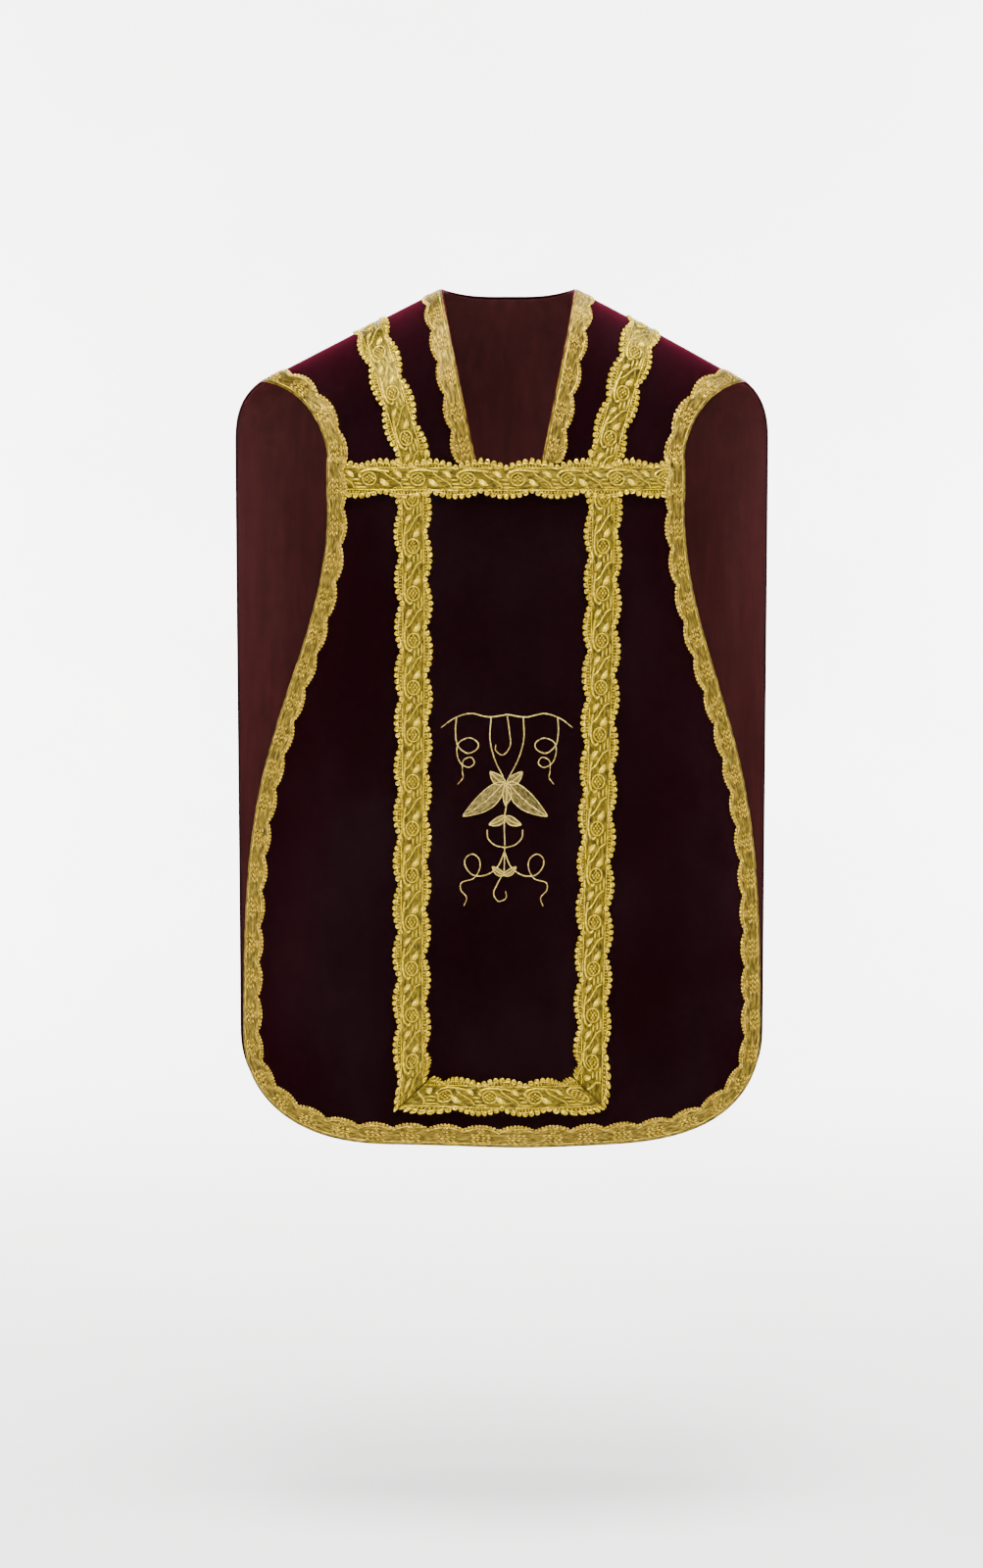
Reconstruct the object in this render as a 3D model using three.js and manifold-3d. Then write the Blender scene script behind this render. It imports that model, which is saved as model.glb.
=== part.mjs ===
// Roman chasuble: a velvet vestment of two stiff panels joined only along the shoulders.
//
// Millimetres, +Z up. The front faces -Y, and +X is on the viewer's right. The origin is where the
// shoulders carry the cloth: on the seam, midway between the two neck points.
//
// Each panel is one drape map. x runs across the panel. t runs down it: 0 is the shoulder seam, 1 is
// where the cloth has rolled over the shoulder, and from there t grows by 1 for each hangStep of fall.

import * as THREE from "three";
import { mergeVertices } from "three/addons/utils/BufferGeometryUtils.js";
import Module from "manifold-3d";

const wasm = await Module();
wasm.setup();

// Driving dimensions of the pose
const neckHalfWidth = 79;
const shoulderSlope = 0.54;
const crownRound = 40;
const chestDrop = 202;
const hangStep = 100;
const flareRun = 800;
const seamGap = 0.3;
const poseLean = { shift: 8, halfWidth: 327, fullAbove: -336, noneBelow: -900 };

// The round corners of both hems, as a quarter of a superellipse
const hemCorner = { width: 190, height: 134, power: 2.4 };

// The cloth and its trims, as distances above the velvet's face
const layers = {
  velvet: { inner: -1.6, outer: 0 },
  lining: { inner: -2.9, outer: -1.9 },
  trim: { inner: 0.8, outer: 1.9 },
  seat: { inner: -3, outer: 0.3 },
  cutter: { inner: -3, outer: 6 },
};

// Sizes of the two kinds of gold trim
const galloon = { inset: 1, valley: 21, lobe: 6, power: 0.75, pitch: 43, columns: 1 };
const braid = { valley: 16.5, lobe: 7, power: 0.8, pitch: 58, columns: 2 };
const napeColumns = 2;
const trimClearance = 0.3;
const borderOverhang = 7;
const mitreClearance = 0.4;

// How the wide braid is laid out on the panels: half widths, levels, and how softly the back's
// column draws in below the shoulder
const braidPlan = {
  seamX: 164,
  bandX: 113,
  footX: 107,
  bandLevel: -225,
  frontFootLevel: -960,
  backFootLevel: -984,
  bandEnd: 203,
  backPull: 140,
};

// How finely the panels are divided
const spanColumns = 5;
const rollRows = 9;
const bodyRows = 8;
const cornerRows = 7;

const clamp = (value) => Math.min(Math.max(value, 0), 1);
const mix = (from, to, share) => from + (to - from) * share;
const bell = (value) => Math.exp((-value * value) / 2);

function smooth(value) {
  const share = clamp(value);
  return share * share * (3 - 2 * share);
}

// The front: narrow at the armholes, wider below, with a deep neck opening
const front = {
  facing: -1,
  depth: 111,
  bowRadiusAtChest: 600,
  bowRadiusAtHem: 900,
  flare: 22,
  hem: -1021,
  neckFoot: 1.08,
  neckFootHalfWidth: 38.6,
  neckPower: 1.1,
  armhole: { halfWidth: 213, spread: 79, power: 1.77 },
  swell: { width: 100, from: -250, run: 281, power: 2.2 },
  flutes: { height: 5.5, length: 260, shift: 30, from: -480 },
  hollows: { depth: 5, x: 168, level: -168, width: 38, height: 26 },
  edge(t) {
    const { armhole, swell } = front;
    const spread = armhole.spread * Math.cos(rollAngle(t)) ** armhole.power;
    const below = Math.max(swell.from - hangLevel(t), 0);
    const widening = swell.width * (1 - Math.exp(-((below / swell.run) ** swell.power)));
    return armhole.halfWidth + spread + widening - cornerCut(front, t);
  },
  neckEdge(t) {
    const narrowing = neckHalfWidth - front.neckFootHalfWidth;
    return neckHalfWidth - narrowing * (1 - Math.cos(rollAngle(t))) ** front.neckPower;
  },
  neckTop: () => 0,
};

// The back: nearly straight sides from the shoulder ends, and a shallow neckline
const back = {
  facing: 1,
  depth: 110,
  bowRadiusAtChest: 1100,
  bowRadiusAtHem: 1100,
  flare: 23,
  hem: -1045,
  neckFoot: 1,
  neckDepth: 0.353,
  shoulder: { halfWidth: 292, spread: 34, power: 1.6 },
  flutes: { height: 8, length: 230, shift: -22, from: -420 },
  hollows: { depth: 4, x: 190, level: -190, width: 45, height: 34 },
  edge(t) {
    const { halfWidth, spread, power } = back.shoulder;
    const rounding = 1 - (1 - Math.sin(rollAngle(t))) ** power;
    return halfWidth + spread * rounding - cornerCut(back, t);
  },
  neckEdge: () => neckHalfWidth,
  neckTop: (x) => back.neckDepth * Math.sqrt(clamp(1 - (x / neckHalfWidth) ** 2)),
};

// How far the cloth has turned over the shoulder, from 0 at the seam to a right angle
function rollAngle(t) {
  return (Math.min(t, 1) * Math.PI) / 2;
}

// The level of the hanging cloth at t, and the t of a level
function hangLevel(t) {
  return -chestDrop - hangStep * Math.max(t - 1, 0);
}

function fallTo(level) {
  return 1 + (-chestDrop - level) / hangStep;
}

// How much of the half width the round hem corner takes away
function cornerCut(panel, t) {
  const down = clamp((panel.hem + hemCorner.height - hangLevel(t)) / hemCorner.height);
  return hemCorner.width * (1 - (1 - down ** hemCorner.power) ** (1 / hemCorner.power));
}

// The shoulder seam's height: sloping arms with a round crown between the neck points
function crest(x) {
  return shoulderSlope * (Math.hypot(neckHalfWidth, crownRound) - Math.hypot(x, crownRound));
}

// The largest folds: soft hollows below the shoulder, and flutes that grow towards the hem
function folds(panel, x, z) {
  const { flutes, hollows } = panel;
  const grown = smooth((flutes.from - z) / (flutes.from - panel.hem));
  const wave = Math.cos((2 * Math.PI * (x - flutes.shift)) / flutes.length);
  const beside = bell((Math.abs(x) - hollows.x) / hollows.width);
  const sunk = hollows.depth * beside * bell((z - hollows.level) / hollows.height);
  return flutes.height * grown * wave - sunk;
}

// A point of the velvet's face
function place(panel, x, t) {
  const roll = rollAngle(t);
  const fall = hangStep * Math.max(t - 1, 0);
  const z = crest(x) * Math.cos(roll) - chestDrop * (1 - Math.cos(roll)) - fall;
  const bow = mix(1 / panel.bowRadiusAtChest, 1 / panel.bowRadiusAtHem, clamp(fall / flareRun));
  const reach = panel.depth - (x * x * bow) / 2 + panel.flare * smooth(fall / flareRun);
  const y = panel.facing * (seamGap / 2 + (reach + folds(panel, x, z)) * Math.sin(roll));
  const { shift, halfWidth, fullAbove, noneBelow } = poseLean;
  const upright = smooth((z - noneBelow) / (fullAbove - noneBelow));
  const lean = shift * (1 - (x / halfWidth) ** 2) * upright;
  return new THREE.Vector3(x + lean, y, z);
}

// The two directions along the cloth at a point, and the direction out of it
function directions(panel, x, t) {
  const stepX = 0.5;
  const stepT = 0.002;
  const across = place(panel, x + stepX, t).sub(place(panel, x - stepX, t));
  across.divideScalar(2 * stepX);
  const down = place(panel, x, t + stepT).sub(place(panel, x, t - stepT));
  down.divideScalar(2 * stepT);
  const out = new THREE.Vector3().crossVectors(across, down).multiplyScalar(panel.facing);
  return { across, down, out: out.normalize() };
}

// The rows of a panel's grid: round the shoulder, down the body, and round the hem corner
function rowsOf(panel) {
  const rows = [];
  for (let i = 0; i <= rollRows; i += 1) rows.push(i / rollRows);
  if (panel.neckFoot > 1) rows.push(panel.neckFoot);
  const bodyTop = rows.at(-1);
  const bodyFoot = fallTo(panel.hem + hemCorner.height);
  for (let i = 1; i <= bodyRows; i += 1) rows.push(mix(bodyTop, bodyFoot, i / bodyRows));
  for (let i = 1; i <= cornerRows; i += 1) {
    const angle = ((i / cornerRows) * Math.PI) / 2;
    const down = Math.sin(angle) ** (2 / hemCorner.power);
    rows.push(bodyFoot + (down * hemCorner.height) / hangStep);
  }
  return rows;
}

// The columns of one row: two side spans, and the middle span below or behind the neck
function columnsOf(panel, t) {
  const edge = panel.edge(t);
  const belowNeck = smooth((t - panel.neckFoot) / 2.5);
  const split = mix(panel.neckEdge(t), edge / 3, belowNeck);
  const columns = [];
  for (let i = 0; i < spanColumns; i += 1) columns.push(mix(-edge, -split, i / spanColumns));
  for (let i = 0; i < spanColumns; i += 1) {
    const even = (2 * i) / spanColumns - 1;
    columns.push(split * mix(Math.sin((even * Math.PI) / 2), even, belowNeck));
  }
  for (let i = 0; i <= spanColumns; i += 1) columns.push(mix(split, edge, i / spanColumns));
  return columns;
}

// A panel's points, with the direction out of the cloth at each, and its triangles
function clothOf(panel) {
  const points = [];
  const normals = [];
  const flat = [];
  const rows = rowsOf(panel);
  for (const row of rows) {
    for (const x of columnsOf(panel, row)) {
      const t = row < 1 ? mix(panel.neckTop(x), 1, row) : row;
      points.push(place(panel, x, t));
      normals.push(directions(panel, x, t).out);
      flat.push(new THREE.Vector3(x, t * hangStep, 0));
    }
  }
  const isOpen = (row, column) => {
    const inMiddle = column >= spanColumns && column < 2 * spanColumns;
    return inMiddle && panel.neckFoot > 1 && rows[row + 1] <= panel.neckFoot;
  };
  const triangles = gridTriangles(points, normals, 3 * spanColumns + 1, -1, isOpen);
  return { points, normals, flat, triangles };
}

// Two triangles for each cell of a grid that isn't open. The lift is 1 where the diagonal should
// stand high, as in a trim, and -1 where it should lie low, as in the cloth under a trim.
function gridTriangles(points, normals, columnCount, lift, isOpen = () => false) {
  const triangles = [];
  const height = (from, to, normal) => points[from].clone().add(points[to]).dot(normal) * lift;
  for (let row = 0; row < points.length / columnCount - 1; row += 1) {
    for (let column = 0; column < columnCount - 1; column += 1) {
      if (isOpen(row, column)) continue;
      const a = row * columnCount + column;
      const b = a + 1;
      const d = a + columnCount;
      const c = d + 1;
      const acrossAC = height(a, c, normals[a]) > height(b, d, normals[a]);
      if (acrossAC) triangles.push([a, d, c], [a, c, b]);
      else triangles.push([a, d, b], [b, d, c]);
    }
  }
  return triangles;
}

// A closed wall between two distances above a surface, with a rim round every open edge
function wall({ points, normals, triangles }, { inner, outer }) {
  const lifted = (lift) => points.map((point, i) => point.clone().addScaledVector(normals[i], lift));
  const corners = [...lifted(outer), ...lifted(inner)];
  const half = points.length;
  const index = [];
  const rims = new Map();
  for (const [a, b, c] of facingOut(points, normals, triangles)) {
    index.push(a, b, c, half + a, half + c, half + b);
    for (const [from, to] of [[a, b], [b, c], [c, a]]) {
      if (!rims.delete(`${to} ${from}`)) rims.set(`${from} ${to}`, [from, to]);
    }
  }
  for (const [from, to] of rims.values()) {
    index.push(to, from, half + from, to, half + from, half + to);
  }
  const geometry = new THREE.BufferGeometry().setFromPoints(index.map((i) => corners[i]));
  return mergeVertices(geometry, 1e-4);
}

// The triangles, all turned round if they face into the cloth
function facingOut(points, normals, triangles) {
  let outward = 0;
  for (const [a, b, c] of triangles) {
    const sideAB = points[b].clone().sub(points[a]);
    const sideAC = points[c].clone().sub(points[a]);
    outward += sideAB.cross(sideAC).dot(normals[a]);
  }
  return outward > 0 ? triangles : triangles.map(([a, b, c]) => [a, c, b]);
}

// The point of a panel's facets under (x, t), so that a trim follows the cloth as it is divided
function onFacets(cloth, x, t) {
  const target = new THREE.Vector3(x, t * hangStep, 0);
  let best = { inside: -Infinity };
  for (const corners of cloth.triangles) {
    const [a, b, c] = corners.map((i) => cloth.flat[i]);
    const share = THREE.Triangle.getBarycoord(target, a, b, c, new THREE.Vector3());
    const inside = Math.min(share.x, share.y, share.z);
    if (inside > best.inside) best = { inside, share: share.toArray(), corners };
    if (inside >= 0) break;
  }
  const point = new THREE.Vector3();
  const normal = new THREE.Vector3();
  best.corners.forEach((i, k) => {
    point.addScaledVector(cloth.points[i], best.share[k]);
    normal.addScaledVector(cloth.normals[i], best.share[k]);
  });
  return { point, normal: normal.normalize() };
}

// A line on a panel, measured along the cloth, from a list of [x, t]
function lineOn(panel, list) {
  const lengths = [0];
  for (let i = 1; i < list.length; i += 1) {
    const step = place(panel, ...list[i]).distanceTo(place(panel, ...list[i - 1]));
    lengths.push(lengths[i - 1] + step);
  }
  const at = (s) => {
    const next = lengths.findIndex((length) => length > s);
    const i = next < 0 ? list.length - 1 : Math.max(next, 1);
    const share = (s - lengths[i - 1]) / (lengths[i] - lengths[i - 1]);
    return [mix(list[i - 1][0], list[i][0], share), mix(list[i - 1][1], list[i][1], share)];
  };
  return { panel, at, length: lengths.at(-1) };
}

// The line that x = shape(t) gives between two values of t
function lineDown(panel, shape, fromT, toT) {
  const list = [];
  const steps = 160;
  for (let i = 0; i <= steps; i += 1) {
    const t = mix(fromT, toT, i / steps);
    list.push([shape(t), t]);
  }
  return lineOn(panel, list);
}

// The point at a distance beside a line, found in short steps along the cloth. A positive distance
// lies towards -X beside a line that runs down a panel.
function beside(line, s, distance) {
  const { panel } = line;
  let [x, t] = line.at(s);
  const ahead = place(panel, ...line.at(s + 0.5)).sub(place(panel, ...line.at(s - 0.5)));
  const side = new THREE.Vector3().crossVectors(directions(panel, x, t).out, ahead);
  side.multiplyScalar(panel.facing).normalize();
  const longestStep = 6;
  const steps = Math.max(Math.ceil(Math.abs(distance) / longestStep), 1);
  for (let i = 0; i < steps; i += 1) {
    const { across, down, out } = directions(panel, x, t);
    side.addScaledVector(out, -side.dot(out)).normalize();
    const aa = across.dot(across);
    const ad = across.dot(down);
    const dd = down.dot(down);
    const area = aa * dd - ad * ad;
    const reach = distance / steps;
    x += (reach * (side.dot(across) * dd - side.dot(down) * ad)) / area;
    t += (reach * (side.dot(down) * aa - side.dot(across) * ad)) / area;
  }
  return [x, t];
}

// Where a trim's cross rows lie: four to a repeat, and eight where the cloth rolls over the shoulder
function stationsOf(line, pitch) {
  const repeats = Math.max(Math.round(line.length / pitch), 1);
  const count = 8 * repeats;
  const stations = [];
  for (let i = 0; i <= count; i += 1) {
    const s = (line.length * i) / count;
    if (i % 2 === 0 || line.at(s)[1] < 1) stations.push(s);
  }
  return { stations, pitch: line.length / repeats };
}

// A trim between two edges beside a line. A skew slides the edges along the line at its ends, for a
// mitre or a seam that crosses the trim at a slant.
function ribbon(cloth, line, edges, columns, layer, skew = { start: 0, end: 0 }) {
  const { stations, pitch } = stationsOf(line, edges.pitch);
  const skewRun = 60;
  const points = [];
  const normals = [];
  for (const s of stations) {
    const slide =
      skew.start * (1 - smooth(s / skewRun)) + skew.end * (1 - smooth((line.length - s) / skewRun));
    for (let column = 0; column <= columns; column += 1) {
      const distance = mix(edges.low(s, pitch), edges.high(s, pitch), column / columns);
      let [x, t] = beside(line, s + slide * distance, distance);
      const endsAtSeam = (s === 0 || s === line.length) && line.at(s)[1] === 0;
      t = endsAtSeam ? 0 : Math.max(t, 0);
      const { point, normal } = onFacets(cloth, x, t);
      points.push(point);
      normals.push(normal);
    }
  }
  const triangles = gridTriangles(points, normals, columns + 1, 1);
  return wall({ points, normals, triangles }, layer);
}

// A trim as it is sewn on, cut clear of the velvet where a facet of the cloth would touch it
function trim(cloth, line, edges, columns, skew) {
  return cutBy(ribbon(cloth, line, edges, columns, layers.trim, skew), wall(cloth, layers.seat));
}

// The narrow galloon: a straight edge beside the cloth's own edge, and lobes on the other side
function galloonEdges(side, spare = 0, overhang = 0) {
  const lobes = (s, pitch) => Math.abs(Math.sin((Math.PI * s) / pitch)) ** galloon.power;
  const near = galloon.inset - overhang;
  const far = (s, pitch) => galloon.valley + galloon.lobe * lobes(s, pitch) + spare;
  const inward = { low: () => near, high: far };
  const outward = { low: (s, pitch) => -far(s, pitch), high: () => -near };
  return { pitch: galloon.pitch, ...(side > 0 ? inward : outward) };
}

// The wide braid: both edges lobed, half a repeat apart
function braidEdges(spare = 0) {
  const half = (s, pitch, phase) =>
    braid.valley +
    braid.lobe * Math.abs(Math.sin(Math.PI * (s / pitch + phase))) ** braid.power +
    spare;
  const low = (s, pitch) => -half(s, pitch, 0);
  const high = (s, pitch) => half(s, pitch, 0.5);
  return { pitch: braid.pitch, low, high };
}

function toSolid(geometry) {
  return new wasm.Manifold(
    new wasm.Mesh({
      numProp: 3,
      vertProperties: Float32Array.from(geometry.attributes.position.array),
      triVerts: Uint32Array.from(geometry.index.array),
    }),
  );
}

function toGeometry(solid) {
  const mesh = solid.getMesh();
  const geometry = new THREE.BufferGeometry();
  geometry.setAttribute("position", new THREE.BufferAttribute(mesh.vertProperties, 3));
  geometry.setIndex(new THREE.BufferAttribute(mesh.triVerts, 1));
  return geometry;
}

function cutBy(geometry, cutter) {
  return toGeometry(toSolid(geometry).subtract(toSolid(cutter)));
}

// Materials
const material = (color, roughness, metalness) =>
  new THREE.MeshStandardMaterial({ color, roughness, metalness });
const materials = {
  velvet: () => material(0x2c0b17, 0.85, 0),
  lining: () => material(0x451a1b, 0.6, 0),
  galloon: () => material(0xa68748, 0.45, 0.7),
  braid: () => material(0xc9b273, 0.4, 0.7),
};

const garment = new THREE.Group();

function add(name, geometry, kind) {
  const mesh = new THREE.Mesh(geometry, materials[kind]());
  mesh.name = name;
  garment.add(mesh);
}

// The panels and their linings
const frontCloth = clothOf(front);
const backCloth = clothOf(back);

function addPanels() {
  for (const [name, cloth] of [["front", frontCloth], ["back", backCloth]]) {
    add(`${name}_panel`, wall(cloth, layers.velvet), "velvet");
    add(`${name}_lining`, wall(cloth, layers.lining), "lining");
  }
}

// The panel's outline from the right shoulder end, round the hem, to the left shoulder end
function outlineOf(panel) {
  const list = [];
  const rollSteps = 40;
  const sideSteps = 120;
  const cornerSteps = 60;
  const cornerTop = fallTo(panel.hem + hemCorner.height);
  for (let i = 0; i < rollSteps; i += 1) list.push(i / rollSteps);
  for (let i = 0; i < sideSteps; i += 1) list.push(mix(1, cornerTop, i / sideSteps));
  for (let i = 0; i <= cornerSteps; i += 1) {
    const down = Math.sin(((i / cornerSteps) * Math.PI) / 2) ** (2 / hemCorner.power);
    list.push(cornerTop + (down * hemCorner.height) / hangStep);
  }
  const right = list.map((t) => [panel.edge(t), t]);
  const hemT = list.at(-1);
  const hemX = panel.edge(hemT);
  const hem = [];
  const hemSteps = 40;
  for (let i = 1; i < hemSteps; i += 1) hem.push([mix(hemX, -hemX, i / hemSteps), hemT]);
  const left = right.map(([x, t]) => [-x, t]).reverse();
  return lineOn(panel, [...right, ...hem, ...left]);
}

// The border galloon of both panels
const frontOutline = outlineOf(front);
const backOutline = outlineOf(back);
const backSeamSkew = { start: -0.7, end: 0.7 };

function addBorders() {
  const edges = galloonEdges(1);
  const frontTrim = trim(frontCloth, frontOutline, edges, galloon.columns);
  add("front_border_galloon", frontTrim, "galloon");
  const backTrim = trim(backCloth, backOutline, edges, galloon.columns, backSeamSkew);
  add("back_border_galloon", backTrim, "galloon");
}

// The band across the chest, cut to fit between the border's two inner edges
const bandT = fallTo(braidPlan.bandLevel);
const bandLine = lineOn(front, [[braidPlan.bandEnd, bandT], [-braidPlan.bandEnd, bandT]]);

function addBand() {
  const band = trim(frontCloth, bandLine, braidEdges(), braid.columns);
  const edges = galloonEdges(1, trimClearance, borderOverhang);
  const cutter = ribbon(frontCloth, frontOutline, edges, galloon.columns, layers.cutter);
  add("front_band", cutBy(band, cutter), "braid");
}

// What runs into the band is cut to its edge
const bandCutter = ribbon(
  frontCloth, bandLine, braidEdges(trimClearance), braid.columns, layers.cutter,
);

function addFrontBraids() {
  const { seamX, bandX, footX, frontFootLevel } = braidPlan;
  const footT = fallTo(frontFootLevel);
  for (const [word, side] of [["left", -1], ["right", 1]]) {
    const strip = (t) => side * mix(bandX, seamX, Math.cos(rollAngle(t)));
    const stripLine = lineDown(front, strip, 0, bandT);
    const shoulder = trim(frontCloth, stripLine, braidEdges(), braid.columns);
    add(`front_shoulder_braid_${word}`, cutBy(shoulder, bandCutter), "braid");

    const upright = (t) => side * mix(bandX, footX, (t - bandT) / (footT - bandT));
    const endT = footT - mitreClearance / hangStep;
    const uprightLine = lineDown(front, upright, bandT, endT);
    const mitre = { start: 0, end: -side };
    const column = trim(frontCloth, uprightLine, braidEdges(), braid.columns, mitre);
    add(`front_column_braid_${word}`, cutBy(column, bandCutter), "braid");
  }
  add("front_column_braid_foot", footBraid(front, frontCloth, footT), "braid");
}

// The short run at the foot of a column, mitred at both ends
function footBraid(panel, cloth, footT) {
  const endX = braidPlan.footX - mitreClearance;
  const line = lineOn(panel, [[endX, footT], [-endX, footT]]);
  const mitres = { start: 1, end: -1 };
  return trim(cloth, line, braidEdges(), braid.columns, mitres);
}

function addBackBraids() {
  const { seamX, footX, backFootLevel, backPull } = braidPlan;
  const footT = fallTo(backFootLevel);
  for (const [word, side] of [["left", -1], ["right", 1]]) {
    const column = (t) => {
      const rolled = (chestDrop + crest(seamX)) * (1 - Math.cos(rollAngle(t)));
      const hung = -chestDrop - hangLevel(t);
      return side * (footX + (seamX - footX) * bell((rolled + hung) / backPull));
    };
    const line = lineDown(back, column, 0, footT - mitreClearance / hangStep);
    const mitre = { start: 0, end: -side };
    const run = trim(backCloth, line, braidEdges(), braid.columns, mitre);
    add(`back_column_braid_${word}`, run, "braid");
  }
  add("back_column_braid_foot", footBraid(back, backCloth, footT), "braid");
}

// The galloon down both sides of the neck opening and round the nape
function addNeckGalloons() {
  for (const [word, side] of [["left", -1], ["right", 1]]) {
    const line = lineDown(front, (t) => side * front.neckEdge(t), 0, bandT);
    const edges = galloonEdges(-side);
    const run = trim(frontCloth, line, edges, galloon.columns);
    add(`neck_galloon_${word}`, cutBy(run, bandCutter), "galloon");
  }
  const list = [];
  const steps = 80;
  for (let i = 0; i <= steps; i += 1) {
    const x = neckHalfWidth * Math.cos((Math.PI * i) / steps);
    list.push([x, i === steps ? 0 : back.neckTop(x)]);
  }
  const nape = trim(backCloth, lineOn(back, list), galloonEdges(-1), napeColumns);
  add("neck_galloon_back", nape, "galloon");
}

addPanels();
addBorders();
addBand();
addFrontBraids();
addBackBraids();
addNeckGalloons();

export default garment;
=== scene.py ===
import math
from collections import namedtuple
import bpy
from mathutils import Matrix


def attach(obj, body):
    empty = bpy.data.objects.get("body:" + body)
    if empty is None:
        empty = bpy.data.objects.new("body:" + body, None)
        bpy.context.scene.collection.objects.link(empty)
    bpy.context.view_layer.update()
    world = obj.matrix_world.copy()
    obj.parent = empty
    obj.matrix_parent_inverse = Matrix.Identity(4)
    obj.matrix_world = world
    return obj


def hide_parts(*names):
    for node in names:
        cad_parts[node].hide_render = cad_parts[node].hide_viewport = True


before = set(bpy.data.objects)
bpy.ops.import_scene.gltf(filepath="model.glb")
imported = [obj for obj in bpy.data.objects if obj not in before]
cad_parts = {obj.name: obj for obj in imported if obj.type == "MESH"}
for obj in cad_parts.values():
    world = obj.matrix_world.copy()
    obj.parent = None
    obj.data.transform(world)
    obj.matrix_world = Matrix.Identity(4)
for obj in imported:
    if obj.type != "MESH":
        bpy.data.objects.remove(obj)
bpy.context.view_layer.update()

from types import SimpleNamespace

import bpy
import numpy as np
from bpy.props import FloatProperty, FloatVectorProperty, IntProperty, PointerProperty

bl_info = {
    "name": "Roman Chasuble",
    "version": (1, 0, 0),
    "blender": (4, 5, 0),
    "location": "View3D > Sidebar > Chasuble",
    "description": "Velvet chasuble with lining, scalloped galloon, lobed braid and embroidery",
    "category": "Add Mesh",
}

MM = 0.001

# The drape, in millimetres, with the sizes of the solids. Only the gap at the shoulder seam is
# closed to a hair here, as the sewing closes it. The neck points are at x = 79 on both sides.
NECK_HALF_WIDTH = 79.0
SHOULDER_SLOPE = 0.54
CROWN_ROUND = 40.0
CHEST_DROP = 202.0
HANG_STEP = 100.0
FLARE_RUN = 800.0
SEAM_GAP = 0.02
LEAN = SimpleNamespace(shift=8.0, half_width=327.0, full_above=-336.0, none_below=-900.0)
HEM_CORNER = SimpleNamespace(width=190.0, height=134.0, power=2.4)

# The cut of the panels: how far the side edges stand from the middle at the armhole or shoulder,
# how they widen from there, and how the neck is cut. The nape's depth is a share of the roll.
FRONT_CUT = SimpleNamespace(
    armhole=213.0, shoulder_spread=79.0, spread_power=1.77, flare_level=-250.0, flare=100.0,
    flare_run=281.0, flare_power=2.2, neck_foot_x=38.6, neck_power=1.1,
)
BACK_CUT = SimpleNamespace(shoulder=292.0, rounding=34.0, rounding_power=1.6, nape_depth=0.353)

# How many millimetres of cloth the parts of a panel's grid span, for the number of its cells
GRID_RUN = SimpleNamespace(roll=175.0, corner=300.0, side=105.0)

# The lining's grid is coarser than the velvet's by this factor
LINING_CELL = 1.4

# How the wide braid is laid out
BRAID_PLAN = SimpleNamespace(
    seam_x=164.0, band_x=113.0, foot_x=107.0, band_level=-225.0, front_foot=-960.0,
    back_foot=-984.0, band_end=203.0, back_pull=140.0, neck_galloon_end=19.0, under_band=0.08,
    mitre_t=0.002, mitre_x=0.2, band_lift=1.5,
)
SIDES = (("left", -1.0), ("right", 1.0))

# The border galloon lies on the band where it crosses it: this near to the band's middle level it
# is raised, and it comes down again over the fade
BAND_STEP = SimpleNamespace(half_height=34.0, fade=12.0, raised=2.3)

# How the narrow galloon is woven. Distances count from its sewn edge or from its lobed edge, and
# levels from the velvet. A knot is given by its half length, half width and height, and a ring by
# its own radius, its thread's, and the points round it and round its thread.
GALLOON = SimpleNamespace(
    edge=0.8, rim=1.7, satin_level=0.75, satin_width=3.6, face_step=0.45, step_run=1.2,
    face=1.15, satin_cord=4.2, satin_radius=0.5, lobe_cord=4.3, lobe_radius=0.55,
    stitch=(2.7, 0.85, 0.95), slant=17.0, stitch_rows=4, first_row=6.3, row_gap=2.75,
    stitches=(-9.6, -3.4, 2.8, 9.0), row_shift=1.5,
    petal=(1.15, 1.0, 0.9), petals=6, rosette=19.2, rosette_length=3.3, rosette_width=2.4,
    picot=(1.15, 0.85, 7, 4), picot_inset=1.75, picot_gap=4.4, picot_level=0.85,
    lobe_power=0.75, columns=9, step=2.9, cord_step=3.0, back_skew=0.7,
)

# How the wide braid is woven, in the same way. Its figure repeats once a lobe: each table gives
# places along the strip and across it, counted from the middle of the figure's berries.
BRAID = SimpleNamespace(
    rim=3.6, ground_level=1.15, belly=0.25, belly_width=9.0,
    face=1.25, straight_cord=12.9, straight_radius=0.6, lobe_cord=5.3, lobe_radius=0.55,
    lobe_cord_level=1.15, seam_inset=0.9, seam_rim=4.0, seam_radius=0.75, seam_level=1.5,
    picot=(1.85, 1.4, 10, 5), picot_inset=3.0, picot_crowding=1.05, picot_level=1.3,
    bar=(0.8, 1.6, 0.9), bar_gap=3.7, bar_level=1.0, bar_foot=13.8, bar_room=5.6, least_room=15.4,
    first_bar=2.0, last_bar=1.0, lobe_power=0.8, columns=14, step=3.6, cord_step=3.2,
)
FIGURE = SimpleNamespace(
    middle=0.27, berry=(1.5, 1.1, 1.1), berry_level=1.4, ring=(8.3, 7.4), stem_middle=30.0,
    stem_half=(11.5, 10.6), stem_sway=2.6, thin=0.8, thick=1.25, cord_level=1.5, bud_level=1.4,
    bud_stations=7, leaf_height=0.9, leaf_level=1.25, leaf_bend=1.0, leaf_cells=7,
    leaf_start=16.0, leaf_end=2.0, bud_thin=0.4, bud_swell=0.85, hook_step=2.6,
    end_margin=1.0,
)

# The lobed edges are walked along in steps of this size, to space their picots
FINE_STEP = 0.8

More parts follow.
